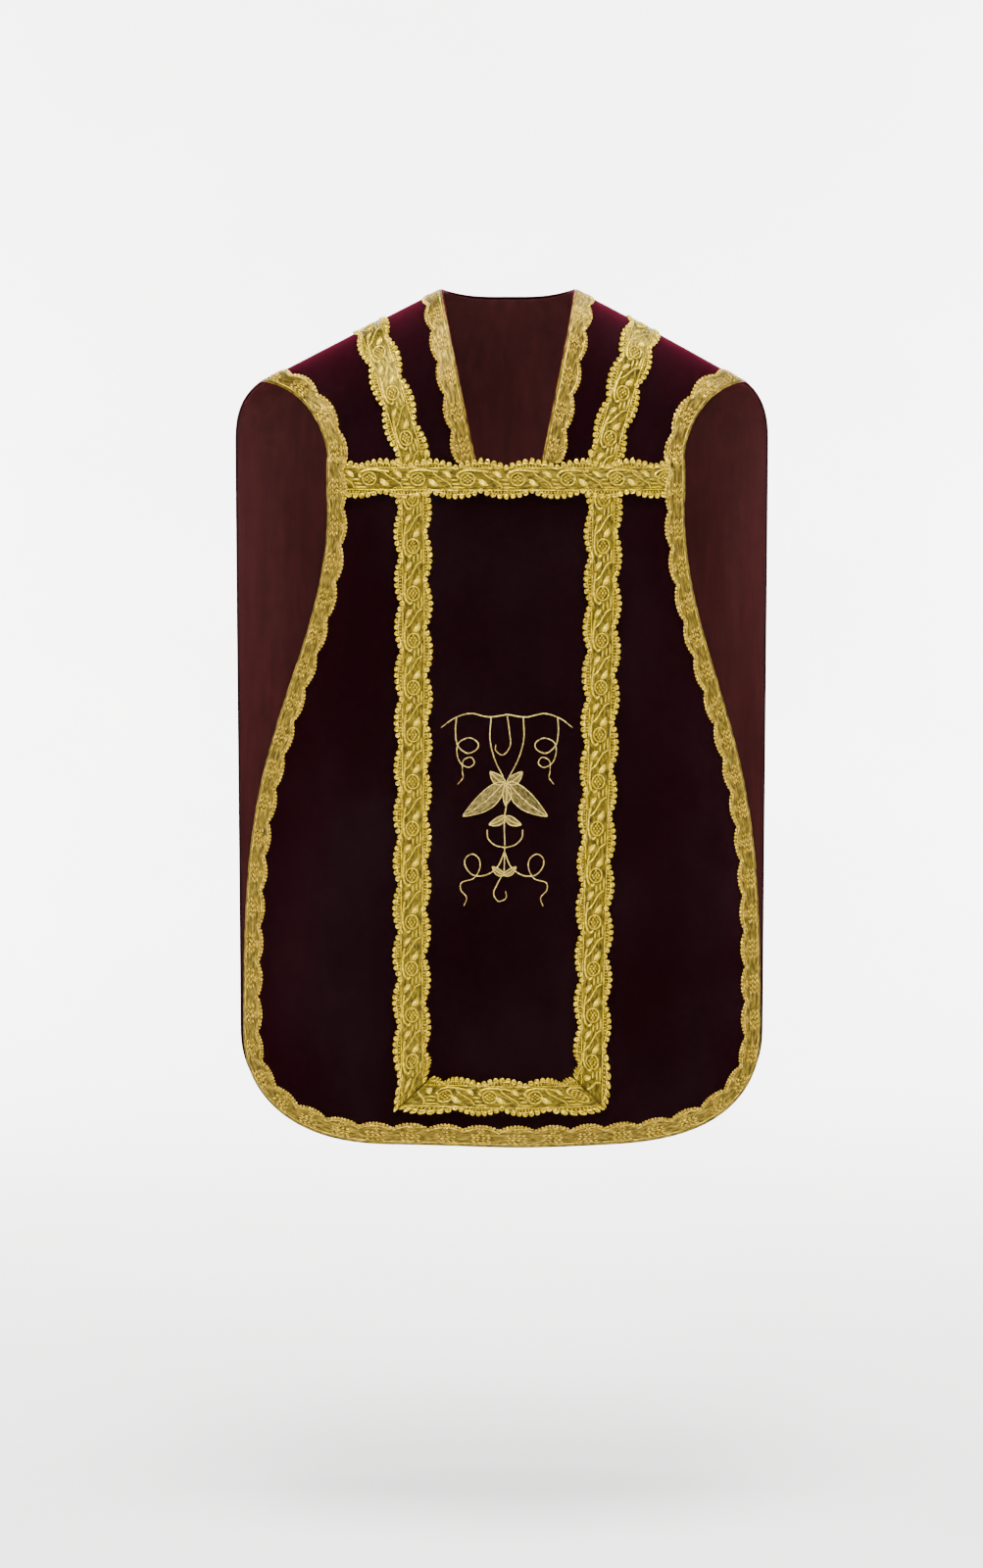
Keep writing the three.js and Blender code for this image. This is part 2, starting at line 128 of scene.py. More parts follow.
# The top of a woven ground falls off towards its sides, to this share of its height
GROUND = SimpleNamespace(side_height=0.35, power=5)
BERRIES = [
    (-5.6, 0.0), (-2.9, -1.9), (-2.9, 1.9), (0.0, -3.8), (0.0, 0.0), (0.0, 3.8), (2.9, -1.9),
    (2.9, 1.9), (5.6, 0.0),
]
HOOK = [(-24.0, 8.6), (-12.0, 10.3), (0.0, 10.6), (8.0, 8.8), (12.5, 4.6), (10.5, 1.4)]
Bud = namedtuple("Bud", "across near far")
BUDS = [Bud(-10.0, 3.5, 17.0), Bud(-5.9, 9.0, 18.0), Bud(-1.0, 11.5, 19.5)]
BraidLeaf = namedtuple("BraidLeaf", "base tip width")
BRAID_LEAVES = [
    BraidLeaf((19.0, 2.0), (30.5, 8.6), 5.4),
    BraidLeaf((46.0, -0.5), (35.0, -7.6), 6.4),
]

# The shape of a leaf of satin stitch: where it is fullest, how blunt it is, half its width at its
# ends, and the parting along its midrib
LEAF = SimpleNamespace(
    fullest=0.8, bluntness=0.85, end_half=0.15, part_depth=0.55, part_width=0.16, slope=0.3,
    lowest=0.15, top=0.1, bottom=-0.2, stitch_slant=0.7, points_across=9,
)

# The metal threads: which colour of the trims each one takes, how much of it, how fine its ribs
# and its glint dashes are along and across, and how rough it is. The grounds take a small share and
# the cords a large share of the same gold, as painted shade on the ground between the raised cords
# and a painted highlight on the cords.
Gold = namedtuple("Gold", "colour share ribs dashes roughness")
GOLDS = {
    "galloon_ground": Gold("galloon_colour", 0.7, (190.0, 330.0), (95.0, 380.0), 0.36),
    "galloon_cord": Gold("galloon_colour", 2.7, (260.0, 260.0), (210.0, 500.0), 0.3),
    "braid_ground": Gold("braid_colour", 0.36, (150.0, 300.0), (110.0, 330.0), 0.36),
    "braid_cord": Gold("braid_colour", 1.9, (260.0, 260.0), (210.0, 500.0), 0.3),
    "embroidery_thread": Gold("thread_colour", 1.0, (330.0, 330.0), (260.0, 620.0), 0.4),
    "embroidery_filling": Gold("thread_colour", 0.22, (260.0, 420.0), (160.0, 420.0), 0.45),
}

# Small creases placed one by one. Each starts at x and top, drifts sideways on its way to its foot,
# and stands out by depth, or sinks in where depth is below zero. All in millimetres.
Crease = namedtuple("Crease", "x top foot drift width depth")
FRONT_CREASES = [
    Crease(x=-150, top=-70, foot=-235, drift=-46, width=13, depth=-1.8),
    Crease(x=146, top=-60, foot=-240, drift=50, width=15, depth=-1.5),
    Crease(x=-168, top=-262, foot=-470, drift=-34, width=12, depth=1.5),
    Crease(x=171, top=-255, foot=-430, drift=44, width=14, depth=1.3),
    Crease(x=-60, top=-300, foot=-640, drift=16, width=22, depth=-1.2),
    Crease(x=52, top=-280, foot=-600, drift=-20, width=26, depth=1.1),
    Crease(x=-205, top=-560, foot=-930, drift=-26, width=18, depth=1.9),
    Crease(x=190, top=-610, foot=-960, drift=34, width=22, depth=-1.8),
    Crease(x=262, top=-480, foot=-840, drift=12, width=14, depth=1.4),
    Crease(x=-270, top=-640, foot=-880, drift=6, width=13, depth=-1.3),
]
BACK_CREASES = [
    Crease(x=-120, top=-60, foot=-330, drift=-62, width=17, depth=-2.1),
    Crease(x=132, top=-70, foot=-300, drift=58, width=15, depth=-1.7),
    Crease(x=299, top=-170, foot=-700, drift=-9, width=9, depth=2.4),
    Crease(x=-303, top=-150, foot=-520, drift=7, width=10, depth=2.0),
    Crease(x=-214, top=-420, foot=-960, drift=-18, width=20, depth=2.2),
    Crease(x=236, top=-520, foot=-990, drift=15, width=21, depth=-2.0),
    Crease(x=-40, top=-260, foot=-760, drift=22, width=28, depth=-1.5),
    Crease(x=70, top=-380, foot=-880, drift=-16, width=24, depth=1.6),
]

# The embroidered spray, for its left half, as x and level in millimetres. The right half mirrors
# what is marked as mirrored.
Thread = namedtuple("Thread", "points thickness mirrored")
Leaf = namedtuple("Leaf", "base tip width mirrored")
SPRAY_THREADS = [
    Thread([(0, -503), (-22, -506), (-44, -502), (-63, -508), (-78, -519)], 1.7, True),
    Thread([(-19, -506), (-20, -532), (-14, -556), (-3, -578)], 1.6, True),
    Thread([(0, -505), (3, -524), (4, -540), (-4, -551), (-13, -546), (-13, -539)], 1.5, False),
    Thread(
        [(-60, -507), (-61, -524), (-58, -540), (-47, -549), (-36, -545), (-34, -537), (-44, -531),
         (-56, -536), (-59, -547), (-55, -560), (-45, -566), (-38, -561), (-42, -554), (-51, -558),
         (-52, -571), (-51, -578), (-57, -586)],
        1.5, True,
    ),
    Thread([(0, -584), (1, -606), (-1, -630), (0, -658), (0, -690)], 1.8, False),
    Thread([(-21, -640), (-20, -650), (-12, -658), (-1, -661)], 1.5, True),
    Thread(
        [(0, -666), (-8, -684), (-22, -694), (-37, -694), (-46, -684), (-46, -674), (-38, -669),
         (-30, -675), (-29, -686), (-36, -698), (-50, -703), (-51, -712), (-44, -721), (-47, -731)],
        1.5, True,
    ),
    Thread([(0, -690), (-7, -703), (-12, -716), (-6, -725), (3, -721), (2, -713)], 1.5, False),
]
SPRAY_LEAVES = [
    Leaf((-2, -583), (-50, -624), 21.0, True),
    Leaf((-1, -585), (-19, -571), 11.0, True),
    Leaf((0, -587), (0, -611), 10.0, False),
    Leaf((0, -624), (-19, -634), 9.0, True),
    Leaf((0, -694), (-14, -684), 7.0, True),
]
SPRAY = SimpleNamespace(
    thread_level=0.45, flatness=0.8, thin_end=0.6, leaf_height=1.2, leaf_bend=0.16, leaf_cells=20,
    outline_radius=0.62, outline_level=0.9,
)

# What each panel was cut from, in metres and square metres, and the pieces sewn on it
Cut = namedtuple("Cut", "flat area other sewn")

# The backdrop is a round bowl, in metres, and the lamps stand in it. Each lamp's power is a share
# of one of the stage's settings.
BOWL = SimpleNamespace(radius=6.5, bend=3.8, height=6.0, sides=64, bend_cells=14)
WORLD_STRENGTH = 0.26
CHEST_Y = -0.12
SENSOR_WIDTH = 36.0
Lamp = namedtuple("Lamp", "name place target size power share")
LAMPS = [
    Lamp("key", (-1.9, -3.8, 0.9), (0.0, 0.0, -0.5), 1.5, "key_power", 1.0),
    Lamp("fill", (2.3, -3.6, 0.3), (0.0, 0.0, -0.5), 1.5, "key_power", 0.7),
    Lamp("top", (0.0, -0.6, 2.2), (0.0, 0.0, -0.5), 1.4, "top_power", 1.0),
    Lamp("backdrop_left", (-3.2, 2.6, 0.9), (-0.8, 6.4, -0.9), 1.6, "backdrop_power", 1.0),
    Lamp("backdrop_right", (3.2, 2.6, 0.9), (0.8, 6.4, -0.9), 1.6, "backdrop_power", 1.0),
]


class ClothSettings(bpy.types.PropertyGroup):
    """Sizes and colours of the velvet and its lining"""

    velvet_thickness: FloatProperty(
        name="Velvet thickness", description="Thickness of the velvet with its stiffening",
        default=0.0016, min=0.0008, max=0.003, unit="LENGTH",
    )
    lining_gap: FloatProperty(
        name="Lining gap", description="Air between the velvet's inside and the lining",
        default=0.0003, min=0.0001, max=0.002, unit="LENGTH",
    )
    lining_thickness: FloatProperty(
        name="Lining thickness", description="Thickness of the lining",
        default=0.001, min=0.0004, max=0.002, unit="LENGTH",
    )
    lining_inset: FloatProperty(
        name="Lining inset", description="How far the lining stays inside the velvet's edge",
        default=0.002, min=0.0, max=0.006, unit="LENGTH",
    )
    crease_strength: FloatProperty(
        name="Crease strength", description="Scales the small creases placed one by one",
        default=1.0, min=0.0, max=2.0, subtype="FACTOR",
    )
    cell_size: FloatProperty(
        name="Cell size", description="Size of a cell of the velvet's grid",
        default=0.0075, min=0.004, max=0.03, unit="LENGTH",
    )
    velvet_colour: FloatVectorProperty(
        name="Velvet", description="Colour of the velvet where its pile is looked into",
        default=(0.0015, 0.001, 0.0011), size=3, min=0.0, max=1.0, subtype="COLOR",
    )
    velvet_sheen: FloatVectorProperty(
        name="Velvet sheen", description="Colour of the light that grazes the pile",
        default=(0.2, 0.014, 0.042), size=3, min=0.0, max=1.0, subtype="COLOR",
    )
    lining_colour: FloatVectorProperty(
        name="Lining", description="Colour of the lining",
        default=(0.031, 0.0062, 0.0062), size=3, min=0.0, max=1.0, subtype="COLOR",
    )


class TrimSettings(bpy.types.PropertyGroup):
    """Sizes and colours of the gold galloon, braid and thread"""

    galloon_valley: FloatProperty(
        name="Galloon valley", description="Width of the narrow galloon between its lobes",
        default=0.021, min=0.01, max=0.04, unit="LENGTH",
    )
    galloon_lobe: FloatProperty(
        name="Galloon lobe", description="How far a lobe of the galloon stands out",
        default=0.006, min=0.0, max=0.012, unit="LENGTH",
    )
    galloon_pitch: FloatProperty(
        name="Galloon repeat", description="Length of one lobe of the galloon",
        default=0.043, min=0.02, max=0.08, unit="LENGTH",
    )
    braid_valley: FloatProperty(
        name="Braid valley", description="Half width of the wide braid between its lobes",
        default=0.0165, min=0.01, max=0.03, unit="LENGTH",
    )
    braid_lobe: FloatProperty(
        name="Braid lobe", description="How far a lobe of the wide braid stands out",
        default=0.007, min=0.0, max=0.012, unit="LENGTH",
    )
    braid_pitch: FloatProperty(
        name="Braid repeat", description="Length of one lobe of the wide braid",
        default=0.058, min=0.03, max=0.1, unit="LENGTH",
    )
    picots_per_lobe: IntProperty(
        name="Picots a lobe", description="Loops along one lobe of the wide braid",
        default=8, min=4, max=14,
    )
    galloon_colour: FloatVectorProperty(
        name="Galloon gold", description="Middle colour of the narrow galloon",
        default=(0.175, 0.116, 0.009), size=3, min=0.0, max=1.0, subtype="COLOR",
    )
    braid_colour: FloatVectorProperty(
        name="Braid gold", description="Middle colour of the wide braid",
        default=(0.275, 0.19, 0.0055), size=3, min=0.0, max=1.0, subtype="COLOR",
    )
    thread_colour: FloatVectorProperty(
        name="Embroidery thread", description="Colour of the embroidery thread",
        default=(0.50, 0.37, 0.09), size=3, min=0.0, max=1.0, subtype="COLOR",
    )


class StageSettings(bpy.types.PropertyGroup):
    """Camera, floor and lights"""

    camera_distance: FloatProperty(
        name="Camera distance", description="From the lens to the middle of the chest",
        default=4.5, min=1.0, max=12.0, unit="LENGTH",
    )
    camera_level: FloatProperty(
        name="Camera level", description="Height of the lens, counted from the neck points",
        default=-0.1, min=-2.0, max=1.0, unit="LENGTH",
    )
    aim_level: FloatProperty(
        name="Aim level", description="Height the lens looks at, counted from the neck points",
        default=-0.5857, min=-2.0, max=1.0, unit="LENGTH",
    )
    camera_side: FloatProperty(
        name="Camera side", description="How far the lens stands to the right of the middle",
        default=-0.0125, min=-1.0, max=1.0, unit="LENGTH",
    )
    focal_length: FloatProperty(
        name="Focal length", description="Focal length on a sensor of 36 mm",
        default=87.5, min=20.0, max=200.0, unit="CAMERA",
    )
    floor_level: FloatProperty(
        name="Floor level", description="Height of the floor, counted from the neck points",
        default=-1.5, min=-2.5, max=-1.1, unit="LENGTH",
    )
    key_power: FloatProperty(
        name="Key light", description="Power of the large light beside the camera",
        default=120.0, min=0.0, max=1000.0, unit="POWER",
    )
    top_power: FloatProperty(
        name="Top light", description="Power of the light above the shoulders",
        default=300.0, min=0.0, max=1000.0, unit="POWER",
    )
    backdrop_power: FloatProperty(
        name="Backdrop lights", description="Power of each light on the backdrop",
        default=750.0, min=0.0, max=5000.0, unit="POWER",
    )


class ChasubleSettings(bpy.types.PropertyGroup):
    """All settings of the chasuble"""

    cloth: PointerProperty(type=ClothSettings)
    trims: PointerProperty(type=TrimSettings)
    stage: PointerProperty(type=StageSettings)


def settings():
    return bpy.context.scene.chasuble


# Small functions of shape

def mix(start, end, share):
    return start + (end - start) * share


def smooth(value):
    share = np.clip(value, 0.0, 1.0)
    return share * share * (3.0 - 2.0 * share)


def parts(length, size, least=8):
    """How many parts of about this size a length is divided into"""
    return max(int(length / size), least)


def bell(value):
    return np.exp(-np.square(value) / 2.0)


def dot(one, other):
    return np.sum(one * other, axis=-1, keepdims=True)


def unit(vectors):
    return vectors / np.linalg.norm(vectors, axis=-1, keepdims=True)


# The drape map: x runs across a panel, and t runs down it from the shoulder seam

def roll_angle(t):
    return np.minimum(t, 1.0) * math.pi / 2.0


def hang_level(t):
    return -CHEST_DROP - HANG_STEP * np.maximum(t - 1.0, 0.0)


def fall_to(level):
    return 1.0 + (-CHEST_DROP - level) / HANG_STEP


def crest(x):
    rounded = np.hypot(x, CROWN_ROUND)
    return SHOULDER_SLOPE * (math.hypot(NECK_HALF_WIDTH, CROWN_ROUND) - rounded)


def corner_cut(hem, t):
    down = np.clip((hem + HEM_CORNER.height - hang_level(t)) / HEM_CORNER.height, 0.0, 1.0)
    left = np.clip(1.0 - down ** HEM_CORNER.power, 0.0, 1.0)
    return HEM_CORNER.width * (1.0 - left ** (1.0 / HEM_CORNER.power))


def front_edge(t):
    cut = FRONT_CUT
    spread = cut.shoulder_spread * np.clip(np.cos(roll_angle(t)), 0.0, 1.0) ** cut.spread_power
    below = np.maximum(cut.flare_level - hang_level(t), 0.0)
    flare = cut.flare * (1.0 - np.exp(-((below / cut.flare_run) ** cut.flare_power)))
    return cut.armhole + spread + flare - corner_cut(FRONT.hem, t)


def front_neck_edge(t):
    narrowing = NECK_HALF_WIDTH - FRONT_CUT.neck_foot_x
    return NECK_HALF_WIDTH - narrowing * (1.0 - np.cos(roll_angle(t))) ** FRONT_CUT.neck_power


def back_edge(t):
    cut = BACK_CUT
    rounding = 1.0 - (1.0 - np.sin(roll_angle(t))) ** cut.rounding_power
    return cut.shoulder + cut.rounding * rounding - corner_cut(BACK.hem, t)


def back_neck_edge(t):
    return np.full(np.shape(t), NECK_HALF_WIDTH)


def nape(x):
    """The t at which the back's cloth starts, between the neck points"""
    return BACK_CUT.nape_depth * np.sqrt(np.clip(1.0 - (x / NECK_HALF_WIDTH) ** 2, 0.0, 1.0))


FRONT = SimpleNamespace(
    name="front", facing=-1.0, depth=111.0, bow_at_chest=600.0, bow_at_hem=900.0, flare=22.0,
    hem=-1021.0, neck_foot=1.08, edge=front_edge, neck_edge=front_neck_edge, creases=FRONT_CREASES,
    flutes=SimpleNamespace(height=5.5, length=260.0, shift=30.0, start=-480.0),
    hollows=SimpleNamespace(depth=5.0, x=168.0, level=-168.0, width=38.0, height=26.0),
)
BACK = SimpleNamespace(
    name="back", facing=1.0, depth=110.0, bow_at_chest=1100.0, bow_at_hem=1100.0, flare=23.0,
    hem=-1045.0, neck_foot=1.0, edge=back_edge, neck_edge=back_neck_edge, creases=BACK_CREASES,
    flutes=SimpleNamespace(height=8.0, length=230.0, shift=-22.0, start=-420.0),
    hollows=SimpleNamespace(depth=4.0, x=190.0, level=-190.0, width=45.0, height=34.0),
)


def crease_relief(panel, x, z):
    """How far the small creases move the cloth out"""
    start_rate, end_rate = 4.0, 2.5
    relief = np.zeros(np.broadcast(x, z).shape)
    for crease in panel.creases:
        down = np.clip((crease.top - z) / (crease.top - crease.foot), 0.0, 1.0)
        middle = crease.x + crease.drift * down
        fade = smooth(down * start_rate) * smooth((1.0 - down) * end_rate)
        relief = relief + crease.depth * bell((x - middle) / crease.width) * fade
    return relief * settings().cloth.crease_strength


def folds(panel, x, z):
    """The flutes, the hollows below the shoulder and the small creases"""
    flutes, hollows = panel.flutes, panel.hollows
    grown = smooth((flutes.start - z) / (flutes.start - panel.hem))
    wave = np.cos(2.0 * math.pi * (x - flutes.shift) / flutes.length)
    beside_strip = bell((np.abs(x) - hollows.x) / hollows.width)
    sunk = hollows.depth * beside_strip * bell((z - hollows.level) / hollows.height)
    return flutes.height * grown * wave - sunk + crease_relief(panel, x, z)


def place(panel, x, t):
    """A point of the velvet's face, in millimetres"""
    roll = roll_angle(t)
    fall = HANG_STEP * np.maximum(t - 1.0, 0.0)
    z = crest(x) * np.cos(roll) - CHEST_DROP * (1.0 - np.cos(roll)) - fall
    hung = np.clip(fall / FLARE_RUN, 0.0, 1.0)
    bow = mix(1.0 / panel.bow_at_chest, 1.0 / panel.bow_at_hem, hung)
    reach = panel.depth - x * x * bow / 2.0 + panel.flare * smooth(hung)
    y = panel.facing * (SEAM_GAP / 2.0 + (reach + folds(panel, x, z)) * np.sin(roll))
    upright = smooth((z - LEAN.none_below) / (LEAN.full_above - LEAN.none_below))
    lean = LEAN.shift * (1.0 - (x / LEAN.half_width) ** 2) * upright
    return np.stack(np.broadcast_arrays(x + lean, y, z), axis=-1)


def directions(panel, x, t):
    """The directions across and down the cloth at a point, and the one out of it"""
    step_x, step_t = 0.5, 0.002
    across = (place(panel, x + step_x, t) - place(panel, x - step_x, t)) / (2.0 * step_x)
    down = (place(panel, x, t + step_t) - place(panel, x, t - step_t)) / (2.0 * step_t)
    return across, down, unit(np.cross(across, down)) * panel.facing


# Meshes are gathered here before Blender makes them

class Form:
    """The points, faces, UVs and finishes of one piece, all in closed shells of quads"""

    def __init__(self):
        self.points, self.faces, self.uvs, self.slots = [], [], [], []
        self.count = 0

    def add(self, points, faces, uvs, slot=0):
        """Add one or more closed shells, turned so that they face outwards"""
        points = points.reshape(-1, 3)
        a, b, c, d = (points[faces[:, k]] for k in range(4))
        volume = np.sum(dot(a, np.cross(b, c))) + np.sum(dot(a, np.cross(c, d)))
        if volume < 0.0:
            faces = faces[:, ::-1]
        self.points.append(points)
        self.faces.append(faces + self.count)
        self.uvs.append(uvs.reshape(-1, 2))
        self.slots.append(np.full(len(faces), slot))
        self.count += len(points)

    def build(self, name, materials, slot, node=None):
        """Make the object, and ride it on the garment in place of a node"""
        points = np.concatenate(self.points) * MM
        faces = np.concatenate(self.faces)
        uvs = np.concatenate(self.uvs) * MM
        mesh = bpy.data.meshes.new(name)
        mesh.from_pydata(points.tolist(), [], faces.tolist())
        layer = mesh.uv_layers.new(name="UVMap")
        layer.data.foreach_set("uv", uvs[faces.ravel()].ravel())
        mesh.polygons.foreach_set("material_index", np.concatenate(self.slots))
        for material in materials:
            mesh.materials.append(material)
        mesh.shade_smooth()
        mesh.set_sharp_from_angle(angle=math.radians(50.0))
        piece = bpy.data.objects.new(name, mesh)
        bpy.context.scene.collection.objects.link(piece)
        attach(piece, "root")
        if node:
            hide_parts(node)


def grid_faces(rows, columns, keep=None):
    """The quads of a grid, or of the cells of it that are kept"""
    index = np.arange(rows * columns).reshape(rows, columns)
    cells = [index[:-1, :-1], index[1:, :-1], index[1:, 1:], index[:-1, 1:]]
    cells = np.stack(cells, axis=-1)
    return cells.reshape(-1, 4) if keep is None else cells[keep]


def wall(form, outer, inner, uvs, keep=None, slot=0):
    """Add a closed wall between an outer and an inner grid of points"""
    rows, columns = outer.shape[:2]
    count = rows * columns
    top = grid_faces(rows, columns, keep)
    start, end = top, np.roll(top, -1, axis=1)
    code = (start * count + end).ravel()
    back = (end * count + start).ravel()
    on_rim = ~np.isin(code, back)
    start, end = start.ravel()[on_rim], end.ravel()[on_rim]
    rims = np.stack([end, start, start + count, end + count], axis=-1)
    faces = np.concatenate([top, top[:, ::-1] + count, rims])
    used, faces = np.unique(faces, return_inverse=True)
    points = np.concatenate([outer.reshape(-1, 3), inner.reshape(-1, 3)])[used]
    both = np.concatenate([uvs.reshape(-1, 2)] * 2)[used]
    form.add(points, faces.reshape(-1, 4), both, slot)


# Lines on the cloth, and the strips of trim beside them

class Line:
    """A line on a panel, measured along the cloth"""

    def __init__(self, panel, x, t):
        self.panel = panel
        self.x, self.t = np.broadcast_arrays(np.asarray(x, float), np.asarray(t, float))
        steps = np.linalg.norm(np.diff(place(panel, self.x, self.t), axis=0), axis=1)
        self.marks = np.concatenate([[0.0], np.cumsum(steps)])
        self.length = self.marks[-1]

    def at(self, s):
        i = np.clip(np.searchsorted(self.marks, s) - 1, 0, len(self.marks) - 2)
        share = (s - self.marks[i]) / (self.marks[i + 1] - self.marks[i])
        return mix(self.x[i], self.x[i + 1], share), mix(self.t[i], self.t[i + 1], share)


def beside(line, s, distance):
    """The x and t at a distance beside a line, found in short steps along the cloth"""
    panel = line.panel
    near, steps = 0.5, 4
    s, distance = np.broadcast_arrays(s, distance)
    x, t = line.at(s)
    ahead = place(panel, *line.at(s + near)) - place(panel, *line.at(s - near))
    side = unit(np.cross(directions(panel, x, t)[2], ahead)) * panel.facing
    reach = (distance / steps)[..., None]
    for _ in range(steps):
        across, down, out = directions(panel, x, t)
        side = unit(side - out * dot(side, out))
        aa, ad, dd = dot(across, across), dot(across, down), dot(down, down)
        area = aa * dd - ad * ad
        go_x = reach * (dot(side, across) * dd - dot(side, down) * ad) / area
        go_t = reach * (dot(side, down) * aa - dot(side, across) * ad) / area
        x, t = x + go_x[..., 0], t + go_t[..., 0]
    return x, t


class Strip:
    """A chart of the cloth beside a line: s along it, v across it, and a lift above the velvet.
    A skew slides the strip's sides along the line at its ends, as a mitre does. Over the level
    raised_at the strip lies on the band."""

    skew_run = 60.0

    def __init__(self, line, pitch, skew_start=0.0, skew_end=0.0, raised_at=None, lift=0.35):
        self.line, self.length = line, line.length
        self.pitch = line.length / max(round(line.length / pitch), 1)
        self.skew_start, self.skew_end = skew_start, skew_end
        self.raised_at, self.lift = raised_at, lift

    def chart(self, s, v, rise):
        start = self.skew_start * (1.0 - smooth(s / self.skew_run))
        end = self.skew_end * (1.0 - smooth((self.length - s) / self.skew_run))
        x, t = beside(self.line, s + (start + end) * v, v)
        t = np.maximum(t, 0.0)
        raised = 0.0
        if self.raised_at is not None:
            depth = BAND_STEP.half_height - np.abs(hang_level(t) - self.raised_at)
            raised = BAND_STEP.raised * smooth(depth / BAND_STEP.fade) * (t > 1.0)
        out = directions(self.line.panel, x, t)[2]
        return place(self.line.panel, x, t) + out * (self.lift + raised + rise)[..., None]

    def stations(self, step):
        """Even places along the whole strip, about a step apart"""
        return np.linspace(0.0, self.length, parts(self.length, step))


class Field:
    """A chart of a panel by x and level, for what is embroidered straight on it"""

    lift = 0.1

    def __init__(self, panel):
        self.panel = panel

    def chart(self, x, level, rise):
        t = fall_to(level)
        out = directions(self.panel, x, t)[2]
        return place(self.panel, x, t) + out * (self.lift + rise)[..., None]


def tube_faces(stations, sides):
    """The quads of a closed tube, with its two ends"""
    index = np.arange(stations * sides).reshape(stations, sides)
    turned = np.roll(index, -1, axis=1)
    walls = np.stack([index[:-1], index[1:], turned[1:], turned[:-1]], axis=-1).reshape(-1, 4)
    caps = []
    for ring, order in ((index[0], 1), (index[-1], -1)):
        for k in range(1, sides - 2, 2):
            caps.append([ring[0], ring[k], ring[k + 1], ring[k + 2]][::order])
    return np.concatenate([walls, np.array(caps)])


def cord(form, surface, path, radius, rise, slot=1, sides=6, flatness=1.0):
    """A round cord laid along a path of chart points. Its radius may change along it."""
    path = np.asarray(path, float)
    ahead = unit(np.gradient(path, axis=0))
    beside_path = np.stack([-ahead[:, 1], ahead[:, 0]], axis=-1)
    angle = (np.arange(sides) + 0.5) * 2.0 * math.pi / sides
    radius = np.broadcast_to(radius, len(path))[:, None]
    out = radius * np.cos(angle)
    u = path[:, :1] + beside_path[:, :1] * out
    v = path[:, 1:] + beside_path[:, 1:] * out
    lift = rise + radius * flatness * np.sin(angle)
    run = np.concatenate([[0.0], np.cumsum(np.linalg.norm(np.diff(path, axis=0), axis=1))])
    uvs = np.stack(np.broadcast_arrays(run[:, None], radius * angle), axis=-1)
    form.add(surface.chart(u, v, lift), tube_faces(len(path), sides), uvs, slot)


def copies(form, surface, centres, shape, rise):
    """Copies of one small shape, given by its points and faces, at many chart points"""
    template, faces = shape
    centres = np.asarray(centres, float)
    u = centres[:, :1] + template[:, 0]
    v = centres[:, 1:] + template[:, 1]
    lift = np.broadcast_to(rise + template[:, 2], u.shape)
    first = np.arange(len(centres))[:, None, None] * len(template)
    points = surface.chart(u, v, lift)
    form.add(points, (faces + first).reshape(-1, 4), np.stack([u, v], axis=-1), slot=1)


def loop_template(ring, thread, around, section):
    """A small ring of thread, lying flat"""
    turn = np.arange(around) * 2.0 * math.pi / around
    angle = np.arange(section) * 2.0 * math.pi / section
    out = ring + thread * np.cos(angle)
    points = np.stack(
        [
            np.cos(turn)[:, None] * out,
            np.sin(turn)[:, None] * out,
            np.broadcast_to(thread * np.sin(angle), (around, section)),
        ],
        axis=-1,
    )
    index = np.arange(around * section).reshape(around, section)
    next_turn = np.roll(index, -1, axis=0)
    faces = [index, next_turn, np.roll(next_turn, -1, axis=1), np.roll(index, -1, axis=1)]
    return points.reshape(-1, 3), np.stack(faces, axis=-1).reshape(-1, 4)


def knot_template(half_length, half_width, height, slant=0.0):
    """A small knot or stitch with a domed top. The slant turns it, in degrees."""
    sides = 6
    angle = np.arange(sides) * 2.0 * math.pi / sides
    along, across = half_length * np.cos(angle), half_width * np.sin(angle)
    turn = math.radians(slant)
    u = along * math.cos(turn) - across * math.sin(turn)
    v = along * math.sin(turn) + across * math.cos(turn)
    rings = [(1.0, -0.2), (0.95, 0.45), (0.45, 1.0)]
    points = [
        np.stack([wide * u, wide * v, np.full(sides, tall * height)], axis=-1)
        for wide, tall in rings
    ]
    return np.concatenate(points), tube_faces(len(rings), sides)


def leaf(form, surface, base, tip, width, height, bend, cells, rise=0.0):
    """A raised leaf of satin stitch, parted along its midrib. Returns its two sides and midrib."""
    base, tip = np.asarray(base, float), np.asarray(tip, float)
    along = np.linspace(0.0, 1.0, cells + 1)[:, None]
    across = np.linspace(-1.0, 1.0, LEAF.points_across)[None, :]
    midrib = across.size // 2
    axis = tip - base
    length = np.linalg.norm(axis)
    normal = np.array([-axis[1], axis[0]]) / length
    swelling = np.sin(math.pi * along ** LEAF.fullest) ** LEAF.bluntness
    half = width / 2.0 * swelling + LEAF.end_half
    sway = bend * np.sin(math.pi * along)
    u = base[0] + axis[0] * along + normal[0] * (half * across + sway)
    v = base[1] + axis[1] * along + normal[1] * (half * across + sway)
    parting = 1.0 - LEAF.part_depth * bell(across / LEAF.part_width)
    crown = np.sqrt(np.clip(1.0 - across ** 2, 0.0, 1.0)) * parting
    raised = height * crown * np.clip(half / (LEAF.slope * width), LEAF.lowest, 1.0)
    outer = surface.chart(u, v, rise + raised + LEAF.top)
    inner = surface.chart(u, v, np.full(u.shape, rise + LEAF.bottom))
    slanted = along * length + LEAF.stitch_slant * np.abs(half * across)
    uvs = np.stack(np.broadcast_arrays(slanted, half * across), axis=-1)
    wall(form, outer, inner, uvs, slot=1)
    return [np.stack([u[:, k], v[:, k]], axis=-1) for k in (0, -1, midrib)]


